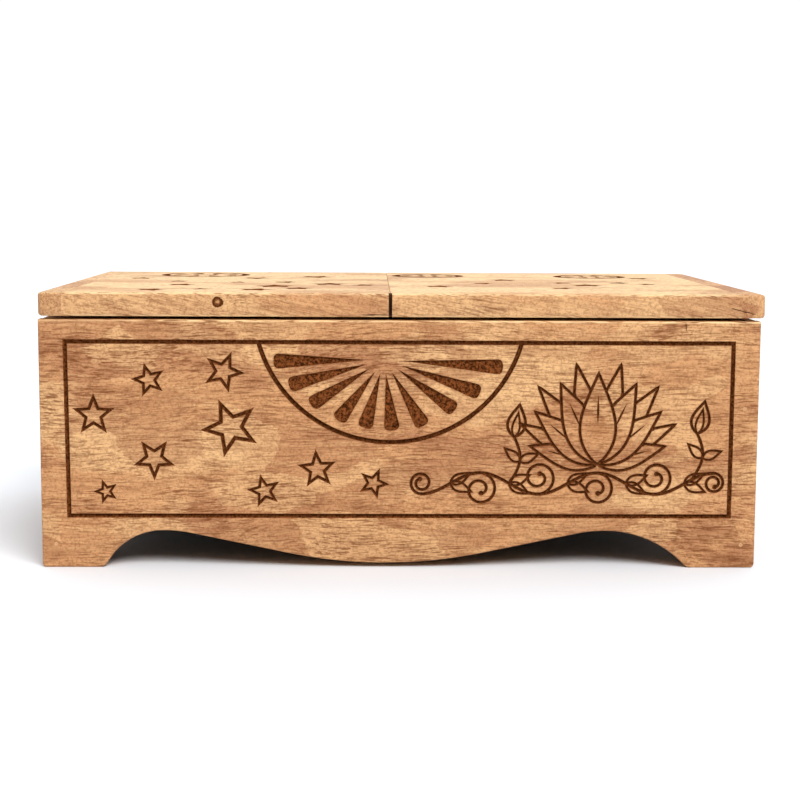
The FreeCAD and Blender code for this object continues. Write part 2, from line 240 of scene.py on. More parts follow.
# Lid top carving: places from the middle of the box, across and towards the back
ROSETTES = (((-97.0, 62.0), 22.6), ((16.5, 60.0), 18.0), ((99.0, 57.0), 18.0))
ROSETTE_RINGS = ((0.91, 4.2), (0.24, 2.4))           # share of the radius, width of the line
ROSETTE_PETALS = 8
ROSETTE_PETAL_SPAN = (0.34, 0.77)                    # shares of the radius
ROSETTE_PETAL_END = (0.16, 0.12)                     # half width and bulge, as shares of the radius
LID_STAR_WAIST = 0.55
LID_STARS = (                # place, radius, turn of one point
    ((-125.0, 26.0), 7.0, 90.0),
    ((-108.0, -72.0), 7.9, 70.0),
    ((-104.0, -1.0), 5.6, 95.0),
    ((-99.0, -31.0), 7.8, 80.0),
    ((-87.0, -65.0), 5.2, 100.0),
    ((-75.0, -8.0), 5.2, 85.0),
    ((-69.0, 30.0), 7.9, 60.0),
    ((-63.0, -68.0), 8.8, 75.0),
    ((-56.0, -40.0), 10.5, 95.0),
    ((-53.0, -6.0), 7.0, 70.0),
    ((-45.0, -58.0), 7.9, 85.0),
    ((-40.0, 45.0), 9.6, 65.0),
    ((-32.0, -22.0), 9.6, 90.0),
    ((-16.0, -30.0), 6.2, 100.0),
    ((18.0, -38.0), 7.9, 80.0),
    ((40.0, -12.0), 6.2, 65.0),
    ((52.0, 20.0), 7.9, 95.0),
    ((73.0, -50.0), 6.2, 70.0),
    ((78.0, -5.0), 6.2, 100.0),
    ((87.0, -25.0), 8.8, 85.0),
    ((105.0, -3.0), 6.0, 75.0),
    ((117.0, -15.0), 5.2, 95.0),
    ((122.0, 40.0), 7.0, 60.0),
)

# Seam of the lid: the boards nearly touch, and their worn corners stand apart
SEAM_GAP = 0.06
SEAM_NICK = 3.5
SEAM_ARRIS = 0.08
# half the gap at the seam, over which the nicks are painted dark: dirt and painted shade
SEAM_DIRT_AND_SHADE_REACH = (RIGHT_SEAM - LEFT_SEAM) / 2
JOINT_ARRIS = 0.25           # round of an end strip where it meets its board

# Grain of the wood: cycles per millimetre along and across, then shift, detail and roughness of the noise
SWAY = (0.007, 0.014, 3.0, 2.0, 0.55)
SWAY_WIDTH = 22.0
RIPPLE = (0.035, 0.06, 5.0, 2.0, 0.55)
RIPPLE_WIDTH = 2.4
GRAIN_LAYERS = {
    "clouds": (0.018, 0.05, 0.0, 4.0, 0.6),
    "blocks": (0.012, 0.03, 7.0, 3.0, 0.55),
    "bands": (0.006, 0.16, 11.0, 4.0, 0.6),
    "mottle": (0.09, 0.16, 13.0, 3.0, 0.6),
    "streaks": (0.024, 0.5, 17.0, 4.0, 0.62),
    "fibres": (0.055, 1.05, 23.0, 2.0, 0.5),
    "dashes": (0.12, 1.5, 31.0, 1.0, 0.5),
    "flecks": (0.25, 1.9, 37.0, 1.0, 0.5),
}
DUST_SCALE = 1.1
GRIT_SCALE = 0.9
FIGURE_SCALE = (0.03, 0.06, 0.06)

# Marks of each layer: value where it starts, value where it is full, strength, colour, what it follows
GRAIN_TONES = (
    ("figure", 0.64, 0.72, 0.38, "brown", "all"),
    ("figure", 0.31, 0.24, 0.45, "pale", "all"),
    ("bands", 0.48, 0.66, 0.2, "brown", "all"),
    ("mottle", 0.48, 0.72, 0.15, "pore", "all"),
    ("streaks", 0.50, 0.72, 0.22, "pore", "pores"),
    ("streaks", 0.50, 0.32, 0.3, "pale", "all"),
    ("fibres", 0.51, 0.65, 0.46, "pore", "crowd"),
    ("dashes", 0.56, 0.67, 0.66, "pore", "crowd"),
    ("flecks", 0.55, 0.67, 0.55, "pore", "crowd"),
    ("dust", 0.45, 0.65, 0.35, "pore", "all"),
)

# Heights of the finest relief, in metres
WOOD_BUMP = 0.0003
METAL_BUMP = 0.00005
FILLER_BUMP = 0.0001

# Knots and splits; they reach a little way in from the front edge of the lid
FLAW_REACH = 14.0
LEFT_KNOT = (-77.0, 113.6, 2.5)                      # across, up, radius
KNOT_BEND = 1.5
KNOT_ROUGHNESS = 1.6
LEFT_CRACK = (-17.0, 108.3, -5.0, 108.3)             # from and to, across and up
RIGHT_CRACK = (139.0, 111.9, 150.0, 109.0)
FRONT_CRACK = (120.4, WALL_TOP, 120.7, WALL_TOP - 4.5)
CRACK_HALF_WIDTH = 0.32
CRACK_WANDER = 0.8

# Burnt floors of the carving, and the painted shade on the underside
BURNT_FROM = 0.12            # depth at which the carved wood is burnt all through
UNDERSIDE_SHADE_TOP = BOTTOM_LOW[2] + 0.4

# Corner brads under their filler
FILLER_SEED = 8
BRAD_HEIGHTS = (10.0, 39.5, 69.0)
BRAD_X = 146.5
FILLER_RADIUS = 0.9
FILLER_STEPS = 14
FILLER_PROFILE = ((1.0, -0.25), (1.0, 0.0), (0.8, 0.05), (0.35, 0.07))   # share of the radius, lift

# Seeds of the carving and looks of the lid's boards
FRONT_SEED = 3
LID_SEED = 11
LID_FLAWS = {"left": {"knot": LEFT_KNOT, "crack": LEFT_CRACK}, "right": {"crack": RIGHT_CRACK}}
STRIP_SEED = 21
# the third look sets how strongly a strip's edges and top are painted pale: wear, and painted sheen on the
# top
STRIP_LOOKS = {
    "left": {"pale": 0.8, "brown": 0.4, "wear_and_highlight_strength": 0.4},
    "right": {"pale": 0.0, "brown": 1.2, "wear_and_highlight_strength": 0.1, "crack": RIGHT_CRACK},
}

# Floor, main light and camera
FLOOR_HALF_SIZE = 40.0
KEY_WIDTH = math.radians(32)
KEY_WAY = (-0.45, 0.9, -1.0)
SENSOR_WIDTH = 36.0
VIEW_DISTANCE = 50.0


def linear(red, green, blue):
    """Colour for a shader from screen values of 0 to 255."""
    shares = [value / 255 for value in (red, green, blue)]
    return tuple(s / 12.92 if s <= 0.04045 else ((s + 0.055) / 1.055) ** 2.4 for s in shares)


def number_property(name, description, value, **limits):
    """Number that a user may change."""
    return FloatProperty(name=name, description=description, default=value, **limits)


def length_property(name, description, millimetres):
    """Length that a user may change."""
    return number_property(name, description, millimetres * MM, unit="LENGTH", min=0.0)


def angle_property(name, description, degrees):
    """Angle that a user may change."""
    return number_property(name, description, math.radians(degrees), subtype="ANGLE")


def colour_property(name, description, *screen_values):
    """Colour that a user may change."""
    return FloatVectorProperty(
        name=name,
        description=description,
        default=linear(*screen_values),
        subtype="COLOR",
        size=3,
        min=0.0,
        max=1.0,
    )


class CarvingSettings(PropertyGroup):
    """Sizes of the carved lines, pockets and rounded edges."""

    line_width: length_property("Border Line", "Width of the border and fan lines", 1.9)
    line_depth: length_property("Border Depth", "Depth of the border and fan lines", 1.0)
    petal_depth: length_property("Petal Depth", "Depth of the fan's petals", 1.2)
    star_depth: length_property("Star Depth", "Depth of the star outlines", 0.7)
    lid_depth: length_property("Lid Carving Depth", "Depth of the carving on the lid", 0.25)
    vine_width: length_property("Vine Line", "Width of the flower and vine lines", 1.3)
    wall_arris: length_property("Wall Edge", "Round of the front panel's edges", 0.8)
    lid_arris: length_property("Lid Edge", "Round of the lid's edges", 1.4)
    corner_radius: length_property("Lid Corner", "Round of the lid's outer corners", 2.2)


class FinishSettings(PropertyGroup):
    """Colours of the wood and the metal."""

    pale: colour_property("Pale Wood", "Sapwood and sanded faces", 236, 189, 135)
    golden: colour_property("Golden Wood", "Main colour of the boards", 211, 156, 108)
    brown: colour_property("Brown Wood", "Figured patches", 174, 120, 84)
    pore: colour_property("Pores", "Open pores and dark streaks", 114, 62, 30)
    # painted highlight as well as wear: pale colour of rubbed edges, of lit edges and of the lid's top
    wear_and_highlight: colour_property("Worn Wood", "Rubbed edges and the top of the lid", 246, 210, 158)
    burnt: colour_property("Burnt Wood", "Floor of the carving", 136, 77, 40)
    char: colour_property("Charred Wood", "Deepest part of the carving", 60, 29, 9)
    # painted shade: near-black colour on the underside, which darkens the space under the box
    underside_shade: colour_property("Stain", "Underside of the bottom", 17, 11, 7)
    filler: colour_property("Filler", "Stopping over the brads", 214, 162, 112)
    brass: colour_property("Brass", "Screws of the battens", 196, 158, 84)
    steel: colour_property("Steel", "Corner brads", 120, 116, 110)


class StageSettings(PropertyGroup):
    """Camera, floor and light."""

    camera_place: FloatVectorProperty(
        name="Camera Place",
        description="Where the camera stands",
        default=(-0.0130, -0.7941, 0.1587),
        subtype="TRANSLATION",
        unit="LENGTH",
    )
    camera_yaw: angle_property("Camera Yaw", "Turn of the camera to the right", 1.05)
    camera_pitch: angle_property("Camera Pitch", "Tilt of the camera down", 7.04)
    camera_roll: angle_property("Camera Roll", "Roll of the camera", 0.29)
    lens: number_property("Lens", "Focal length in millimetres", 74.87, min=1.0)
    floor: colour_property("Floor", "Colour of the floor", 235, 239, 244)
    backdrop: number_property("Backdrop", "Brightness behind the box", 1.05, min=0.0)
    front_fill: number_property("Front Fill", "Brightness low down in front", 0.04, min=0.0)
    overhead: number_property("Overhead", "Brightness added overhead", 0.65, min=0.0)
    key: number_property("Key Light", "Strength of the soft main light", 2.8, min=0.0)


class Flow:
    """One socket of a material; arithmetic on it adds Math nodes."""

    def __init__(self, nodes, socket):
        self.nodes = nodes
        self.socket = socket

    def math(self, operation, *values):
        """Math node on the given values, in order."""
        return self.nodes.node("ShaderNodeMath", {"operation": operation}, dict(enumerate(values)))

    def __add__(self, other):
        return self.math("ADD", self, other)

    def __radd__(self, other):
        return self.math("ADD", other, self)

    def __sub__(self, other):
        return self.math("SUBTRACT", self, other)

    def __rsub__(self, other):
        return self.math("SUBTRACT", other, self)

    def __mul__(self, other):
        return self.math("MULTIPLY", self, other)

    def __pow__(self, other):
        return self.math("POWER", self, other)

    def __abs__(self):
        return self.math("ABSOLUTE", self)

    def step(self, low, high):
        """Smooth step from 0 at low to 1 at high; low may be the larger."""
        ends = {1: low, 2: high, 3: 0.0, 4: 1.0} if low < high else {1: high, 2: low, 3: 1.0, 4: 0.0}
        settings = {"interpolation_type": "SMOOTHSTEP"}
        return self.nodes.node("ShaderNodeMapRange", settings, {0: self, **ends})


class Nodes:
    """Node tree under construction."""

    def __init__(self, tree):
        self.tree = tree
        tree.nodes.clear()

    def node(self, kind, settings=None, sockets=None, output=0):
        """Add a node: its settings first, then the values or links of its sockets."""
        made = self.tree.nodes.new(kind)
        for name, value in (settings or {}).items():
            setattr(made, name, value)
        for key, value in (sockets or {}).items():
            if isinstance(value, Flow):
                self.tree.links.new(value.socket, made.inputs[key])
            else:
                made.inputs[key].default_value = value
        return Flow(self, made.outputs[output]) if made.outputs else None

    def colour_mix(self, share, first, second):
        """Mix of two colours."""
        sockets = {0: share, 6: self.as_colour(first), 7: self.as_colour(second)}
        return self.node("ShaderNodeMix", {"data_type": "RGBA"}, sockets, 2)

    @staticmethod
    def as_colour(value):
        """Colour socket value with its fourth number."""
        return value if isinstance(value, Flow) else (*value, 1.0)

    def vector(self, operation, first, second):
        """Vector Math node on two vectors."""
        return self.node("ShaderNodeVectorMath", {"operation": operation}, {0: first, 1: second})

    def noise(self, place, detail, roughness):
        """Noise of unit scale at a place."""
        sockets = {"Vector": place, "Scale": 1.0, "Detail": detail, "Roughness": roughness}
        return self.node("ShaderNodeTexNoise", None, sockets)

    def speckle(self, place, scale, detail, roughness):
        """Noise of the same scale in every direction."""
        return self.noise(self.vector("MULTIPLY", place, (scale, scale, scale)), detail, roughness)

    def place_in_mm(self):
        """Place on the piece in millimetres."""
        place = self.node("ShaderNodeTexCoord", output="Object")
        return self.vector("MULTIPLY", place, (1 / MM, 1 / MM, 1 / MM))

    def parts(self, place):
        """X, Y and Z of a vector."""
        split = self.node("ShaderNodeSeparateXYZ", None, {0: place})
        return [Flow(self, socket) for socket in split.socket.node.outputs]

    def joined(self, x, y, z):
        """Vector from three values."""
        return self.node("ShaderNodeCombineXYZ", None, {0: x, 1: y, 2: z})

    def attribute(self, name):
        """Number stored on the points of the mesh."""
        return self.node("ShaderNodeAttribute", {"attribute_name": name}, output="Fac")

    def bump(self, height, distance, strength):
        """Normal from a height of 0 to 1 over a distance in metres."""
        sockets = {"Height": height, "Distance": distance, "Strength": strength}
        return self.node("ShaderNodeBump", None, sockets)

    def surface(self, **sockets):
        """Principled surface from the given sockets, joined to the output."""
        named = {key.replace("_", " "): value for key, value in sockets.items()}
        shader = self.node("ShaderNodeBsdfPrincipled", None, named)
        self.node("ShaderNodeOutputMaterial", None, {"Surface": shader})


def new_finish(name):
    """Empty material and its nodes."""
    material = bpy.data.materials.new(name)
    material.use_nodes = True
    return material, Nodes(material.node_tree)


@dataclass
class Board:
    """How the wood of one board looks; heights are in millimetres."""

    grain: str                   # axis that the grain runs along, x or y
    seed: float                  # another piece of the same tree
    pale: float = 0.5            # share of pale wood
    brown: float = 0.5           # share of brown wood
    pores: float = 1.0           # strength of the dark pores and lines
    slope: float = 0.0           # fall of the grain lines along the board
    shine: float = 0.0           # polish
    wear_and_highlight: tuple = ()             # heights of the edges that are painted pale, for wear and painted highlight
    wear_and_highlight_strength: float = 0.6             # how pale they are
    underside_shade: float = -1.0          # height below which the wood is painted dark as shade under the box
    carved: bool = False         # whether the mesh says where it is carved
    seam_dirt_and_shade: bool = False     # whether the seam of the lid is painted black, for dirt and painted shade in the gap
    knot: tuple = ()             # across, height and radius of a knot
    crack: tuple = ()            # across and height of both ends of a split


class Wood:
    """Oiled hardwood of one board, laid on in steps from the bare grain to the marks of use, with painted
    highlight on lit edges and the lid's top, and painted shade in the lid's seam and on the underside.
    """

    def __init__(self, name, board):
        self.material, self.nodes = new_finish(name)
        self.board = board
        self.colours = bpy.context.scene.keepsake_finish
        self.place = self.nodes.place_in_mm()
        self.x, self.y, self.z = self.nodes.parts(self.place)
        self.dust = self.nodes.speckle(self.place, DUST_SCALE, 2.0, 0.6)
        self.add_grain()
        self.add_wear_and_highlight()
        for wanted, step in (
            (board.underside_shade > 0, self.add_underside_shade),
            (board.seam_dirt_and_shade, self.add_seam_dirt_and_shade),
            (board.knot, self.add_knot),
            (board.crack, self.add_crack),
            (board.carved, self.add_carving),
        ):
            if wanted:
                step()
        self.nodes.surface(
            Base_Color=self.tone,
            Roughness=self.rough,
            Normal=self.nodes.bump(self.height, WOOD_BUMP, 0.5),
            Specular_IOR_Level=0.0,
            Coat_Weight=self.polish,
            Coat_Roughness=0.4,
            Coat_IOR=1.25,
        )

    def paint(self, share, colour):
        """Lay one of the wood's colours over the tone."""
        self.tone = self.nodes.colour_mix(share, self.tone, getattr(self.colours, colour))

    def layer(self, base, along, across, shift, detail, roughness):
        """Noise that is stretched along the grain."""
        seed = self.board.seed
        scaled = self.nodes.vector("MULTIPLY", base, (along, across, across))
        moved = self.nodes.vector("ADD", scaled, (seed * 1.3 + shift, seed * 0.7 - shift, seed + shift * 2))
        return self.nodes.noise(moved, detail, roughness)

    def from_knot(self):
        """Distance from the middle of the knot."""
        across, up = self.board.knot[:2]
        return ((self.x - across) ** 2 + (self.z - up) ** 2) ** 0.5

    def near_front(self):
        """One by the front edge of the lid and nothing behind it, for flaws that don't run through."""
        limit = FLAW_REACH - LID_EDGE_Y
        return self.y.step(limit, limit - 2)

    def swayed(self):
        """Place along, across and up, with grain lines that sway, ripple and bend round a knot."""
        along, across = (self.x, self.y) if self.board.grain == "x" else (self.y, self.x)
        fall = self.z + along * self.board.slope
        straight = self.nodes.joined(along, across, fall)
        bend = (self.layer(straight, *SWAY) - 0.5) * SWAY_WIDTH
        bend = bend + (self.layer(straight, *RIPPLE) - 0.5) * RIPPLE_WIDTH
        if self.board.knot:
            radius = self.board.knot[2]
            bend = bend + self.from_knot().step(radius * 4, radius) * KNOT_BEND
        return self.nodes.joined(along, across + bend, fall + bend * 0.8)

    def figure(self, swayed):
        """Sharp-edged figure where the grain of the tree crosses the saw cut."""
        seed = self.board.seed
        grain = self.grain
        torn = self.nodes.joined(grain["clouds"] * 0.9, grain["blocks"] * 0.9, grain["streaks"] * 0.3)
        place = self.nodes.vector("MULTIPLY", swayed, FIGURE_SCALE)
        place = self.nodes.vector("ADD", place, torn)
        place = self.nodes.vector("ADD", place, (seed * 0.9, seed * 2.1, seed * 0.4))
        sockets = {"Vector": place, "Scale": 1.0}
        cells = self.nodes.node("ShaderNodeTexVoronoi", {"feature": "F1"}, sockets, "Color")
        return self.nodes.parts(cells)[0]

    def add_grain(self):
        """Patches first, then streaks, then the fine lines and pores that crowd in the brown parts."""
        board = self.board
        swayed = self.swayed()
        self.grain = {name: self.layer(swayed, *sizes) for name, sizes in GRAIN_LAYERS.items()}
        self.grain.update(dust=self.dust, figure=self.figure(swayed))
        clouds = self.grain["clouds"]
        darker = clouds.step(0.58 - 0.16 * board.brown, 0.66 - 0.12 * board.brown)
        lighter = self.grain["blocks"].step(0.60 - 0.2 * board.pale, 0.68 - 0.16 * board.pale)
        self.tone = self.nodes.colour_mix(darker * 0.65, self.colours.golden, self.colours.brown)
        self.paint(lighter * 0.6, "pale")
        crowd = (0.5 + clouds.step(0.40, 0.60) * 0.5) * board.pores
        follows = {"all": 1.0, "pores": board.pores, "crowd": crowd}
        marks = {}
        for name, start, full, strength, colour, where in GRAIN_TONES:
            marks[name] = self.grain[name].step(start, full) * follows[where]
            self.paint(marks[name] * strength, colour)
        self.height = 1 - marks["dashes"] * 0.6 - marks["fibres"] * 0.4
        self.rough = 0.45 + self.grain["streaks"] * 0.2 + marks["dashes"] * 0.2
        self.polish = 0.35 + 0.6 * board.shine

    def add_wear_and_highlight(self):
        """Edges painted pale, more in some stretches than in others: wear from hands, and painted highlight
        where light catches the edges and the whole top of the lid.
        """
        stretches = 0.4 + self.grain["blocks"].step(0.38, 0.52) * 0.6
        for edge in self.board.wear_and_highlight:
            worn_and_lit = abs(self.z - edge).step(1.0, 0.4) * self.grain["dashes"].step(0.64, 0.5)
            self.paint(worn_and_lit * stretches * self.board.wear_and_highlight_strength, "wear_and_highlight")

    def add_underside_shade(self):
        """Painted shade: near-black matt colour on the underside, which darkens the space under the box."""
        underside_shade_mask = self.z.step(self.board.underside_shade, self.board.underside_shade - 0.2)
        self.paint(underside_shade_mask, "underside_shade")
        self.polish = (1 - underside_shade_mask) * self.polish

    def add_seam_dirt_and_shade(self):
        """Dark colour in the nicks at both ends of the lid's seam: old dirt, and painted shade in the gap.
        """
        nick_y = LID_EDGE_Y - SEAM_NICK
        in_nick = abs(self.y).step(nick_y - 0.2, nick_y)
        by_seam = abs(self.x - SEAM_X).step(SEAM_DIRT_AND_SHADE_REACH + 0.1, SEAM_DIRT_AND_SHADE_REACH)
        self.paint(by_seam * in_nick * 0.9, "char")

    def add_knot(self):
        """Round knot with a dark rim and a light heart."""
        radius = self.board.knot[2]
        uneven = self.from_knot() + (self.dust - 0.5) * KNOT_ROUGHNESS
        ring = uneven.step(radius, radius * 0.85) * self.near_front()
        rim = abs(uneven - radius * 0.72).step(radius * 0.3, radius * 0.1)
        heart = uneven.step(radius * 0.4, radius * 0.1)
        self.paint(ring * 0.96, "pore")
        self.paint(rim * ring * 0.7, "char")
        self.paint(heart * ring * 0.7, "golden")
        self.polish = (1 - ring) * self.polish

    def add_crack(self):
        """Thin dark split that wanders a little with the fibres."""
        first_x, first_z, last_x, last_z = self.board.crack
        run = math.hypot(last_x - first_x, last_z - first_z)
        way_x = (last_x - first_x) / run
        way_z = (last_z - first_z) / run
        right = self.x - first_x
        up = self.z - first_z
        beside = up * way_x - right * way_z + (self.grain["fibres"] - 0.5) * CRACK_WANDER
        reach = abs(right * way_x + up * way_z - run / 2)
        split = abs(beside).step(CRACK_HALF_WIDTH, 0.1) * reach.step(run / 2, run / 2 - 1.5)
        split = split * self.near_front()
        self.paint(split * 0.9, "char")
        self.height = self.height - split

    def add_carving(self):
        """Burnt, gritty floors of the carving with scorched rims."""
        scorch = self.nodes.attribute("scorch")
        grit = self.nodes.speckle(self.place, GRIT_SCALE, 3.0, 0.7)
        burn = self.nodes.attribute("carved").step(0.0, BURNT_FROM)
        burnt_share = grit.step(0.36, 0.64) * (1.5 - scorch)
        floor_tone = self.nodes.colour_mix(burnt_share, self.colours.char, self.colours.burnt)
        self.paint(scorch * 0.45, "burnt")
        self.tone = self.nodes.colour_mix(burn, self.tone, floor_tone)
        self.height = self.height * (1 - burn) + grit * burn
        self.rough = self.rough + burn * 0.4
        self.polish = (1 - burn) * self.polish


def metal_finish(name, colour, roughness, seed):
    """Drawn metal with fine scratches and dull patches."""
    material, nodes = new_finish(name)
    place = nodes.place_in_mm()
    scratch_place = nodes.vector("MULTIPLY", place, (0.4, 6.0, 6.0))
    scratches = nodes.noise(nodes.vector("ADD", scratch_place, (seed, seed, seed)), 4.0, 0.6)
    patches = nodes.speckle(place, 0.5, 3.0, 0.6)
    dull = tuple(share * 0.45 for share in colour)
    tone = nodes.colour_mix(patches.step(0.45, 0.7), colour, dull)
    rough = roughness + patches * 0.2 + scratches * 0.15
    normal = nodes.bump(scratches, METAL_BUMP, 0.4)
    nodes.surface(Base_Color=tone, Metallic=1.0, Roughness=rough, Normal=normal)
    return material


def filler_finish(name, colour):
    """Sanded wood stopping with specks of dust."""
    material, nodes = new_finish(name)
    specks = nodes.speckle(nodes.place_in_mm(), 2.2, 4.0, 0.7)
    darker = tuple(share * 0.6 for share in colour)
    tone = nodes.colour_mix(specks.step(0.42, 0.66), colour, darker)
    normal = nodes.bump(specks, FILLER_BUMP, 0.3)
    nodes.surface(Base_Color=tone, Roughness=0.7 + specks * 0.2, Normal=normal)
    return material


def floor_finish(name, colour):
    """Matt studio floor with a trace of unevenness."""
    material, nodes = new_finish(name)
    mottle = nodes.speckle(nodes.node("ShaderNodeTexCoord", output="Object"), 9.0, 3.0, 0.5)
    shaded = tuple(share * 0.985 for share in colour)
    tone = nodes.colour_mix(mottle, colour, shaded)
    nodes.surface(Base_Color=tone, Roughness=0.8 + mottle * 0.1, Specular_IOR_Level=0.1)
    return material


def unit(vectors):
    """Vectors of length one."""
    return vectors / np.maximum(np.linalg.norm(vectors, axis=-1, keepdims=True), 1e-9)


def left_of(vectors):
    """Vectors turned a quarter to the left."""
    return np.stack((-vectors[..., 1], vectors[..., 0]), axis=-1)


def inset(outline, distances):
    """Closed anticlockwise outline with each edge moved inwards by its own distance."""
    outline = np.asarray(outline, float)
    leaving = left_of(unit(np.roll(outline, -1, axis=0) - outline))
    arriving = np.roll(leaving, 1, axis=0)
    out_by = np.broadcast_to(np.asarray(distances, float), len(outline))
    in_by = np.roll(out_by, 1)
    turn = arriving[:, 0] * leaving[:, 1] - arriving[:, 1] * leaving[:, 0]
    straight = np.abs(turn) < 1e-3
    safe = np.where(straight, 1.0, turn)
    shift = np.stack((
        (in_by * leaving[:, 1] - out_by * arriving[:, 1]) / safe,
        (out_by * arriving[:, 0] - in_by * leaving[:, 0]) / safe,
    ), axis=1)
    return outline + np.where(straight[:, None], arriving * in_by[:, None], shift)


def arc(centre, radius, start, end, steps):
    """Points on an arc; the angles are in radians."""
    angles = np.linspace(start, end, steps + 1)
    return np.asarray(centre) + radius * np.stack((np.cos(angles), np.sin(angles)), axis=1)


def ogee(start, end, start_radius, end_radius):
    """Two opposed arcs, level at both ends, without the end point."""
    run, rise = np.subtract(end, start)
    room = (run ** 2 + rise ** 2) / (2 * abs(rise)) / (start_radius + end_radius)
    start_radius *= min(1.0, room)
    end_radius *= min(1.0, room)
    both = start_radius + end_radius
    rest = both - abs(rise)
    slope = math.atan2(run, rest) - math.acos(min(1.0, both / math.hypot(run, rest)))
    angles = np.linspace(0.0, slope, OGEE_STEPS + 1)
    turn = np.stack((np.sin(angles), np.copysign(1 - np.cos(angles), rise)), axis=1)
    first = start + start_radius * turn
    second = end - end_radius * turn[::-1]
    points = np.concatenate((first, second[:-1]))
    gaps = np.linalg.norm(np.diff(points, axis=0), axis=1)
    return points[np.concatenate(([True], gaps > 1e-3))]


def foot_curve(start, end):
    """Inner edge of a bracket foot between its toe and an arch."""
    run, rise = np.subtract(end, start)
    hollow_radius = (run ** 2 + rise ** 2) / (2 * abs(rise)) - TOE_RADIUS
    radii = (TOE_RADIUS, hollow_radius) if rise > 0 else (hollow_radius, TOE_RADIUS)
    return ogee(start, end, *radii)


def front_outline():
    """Front panel seen from the front, anticlockwise from the left toe."""
    toe_x = HALF_LENGTH - FOOT_WIDTH
    left_toe = (TOE_SHIFT - toe_x, 0.0)
    right_toe = (TOE_SHIFT + toe_x, 0.0)
    left_arch = (SCALLOP_SHIFT - toe_x + ARCH_RUN, ARCH_HEIGHT)
    right_arch = (SCALLOP_SHIFT + toe_x - ARCH_RUN, ARCH_HEIGHT)
    lobe = (SCALLOP_SHIFT, LOBE_CLEARANCE)
    quarter = math.pi / 2
    heel_x = HALF_LENGTH - HEEL_RADIUS
    return np.concatenate((
        foot_curve(left_toe, left_arch),
        ogee(left_arch, lobe, ARCH_RADIUS, LOBE_RADIUS),
        ogee(lobe, right_arch, LOBE_RADIUS, ARCH_RADIUS),
        foot_curve(right_arch, right_toe),
        (right_toe,),
        arc((heel_x, HEEL_RADIUS), HEEL_RADIUS, -quarter, 0.0, CORNER_STEPS),
        ((HALF_LENGTH, WALL_TOP), (-HALF_LENGTH, WALL_TOP)),
        arc((-heel_x, HEEL_RADIUS), HEEL_RADIUS, -2 * quarter, -quarter, CORNER_STEPS),
    ))


class Groove:
    """Carved line with sloping sides; floor is the flat share of its width."""

    def __init__(self, points, width, depth, closed=False, floor=0.0, taper=(0.0, 0.0)):
        self.points = np.asarray(points, float)
        self.depth = depth
        self.closed = closed
        self.floor = floor
        steps = np.linalg.norm(np.diff(self.points, axis=0), axis=1)
        along = np.concatenate(([0.0], np.cumsum(steps)))
        from_end = along[-1] - along
        share = np.ones(len(along))
        for distance, run in zip((along, from_end), taper):
            if run:
                share = np.minimum(share, np.clip(distance / run, TAPER_END, 1.0))
        self.full_half = width / 2
        self.half = share * width / 2

    def moved(self, share):
        """Line moved to the left by a share of its half width, with mitred corners."""
        if self.closed:
            return inset(self.points, share * self.half)
        ways = left_of(unit(np.diff(self.points, axis=0)))
        arriving = np.concatenate((ways[:1], ways))
        leaving = np.concatenate((ways, ways[-1:]))
        both = arriving + leaving
        mitre = both / np.maximum(1 + np.sum(arriving * leaving, axis=1), MITRE_LIMIT)[:, None]
        return self.points + mitre * (share * self.half)[:, None]

    def lines(self):
        """Lines where the surface bends, each with whether it is closed."""
        shares = (-1.0, -self.floor, self.floor, 1.0) if self.floor else (-1.0, 0.0, 1.0)
        rim = 1 + LINE_SCORCH / self.full_half
        return [(self.moved(share), self.closed) for share in (-rim, *shares, rim)]

    def distance(self, places):
        """Distance of places from the middle of the line, and its half width there."""
        ends = np.roll(self.points, -1, axis=0) if self.closed else self.points[1:]
        starts = self.points if self.closed else self.points[:-1]
        end_half = np.roll(self.half, -1) if self.closed else self.half[1:]
        start_half = self.half if self.closed else self.half[:-1]
        nearest = np.full(len(places), np.inf)
        half = np.zeros(len(places))
        for start, end, half_a, half_b in zip(starts, ends, start_half, end_half):
            way = end - start
            share = np.clip((places - start) @ way / max(way @ way, 1e-9), 0.0, 1.0)
            apart = np.linalg.norm(places - start - share[:, None] * way, axis=1)
            closer = apart < nearest
            nearest = np.where(closer, apart, nearest)
            half = np.where(closer, half_a + share * (half_b - half_a), half)
        return nearest, half

    def carve(self, places):
        """Depth at places, and how scorched the wood is there."""
        apart, half = self.distance(places)
        slope = (half - apart) / np.maximum(half * (1 - self.floor), 1e-6)
        depth = self.depth * half / self.full_half * np.clip(slope, 0.0, 1.0)
        scorch = np.clip(1 - (apart - half) / LINE_SCORCH, 0.0, 1.0)
        return depth, scorch

    def loose_points(self, draw):
        """Extra points for a rough floor; a line has none."""
        return np.zeros((0, 2))


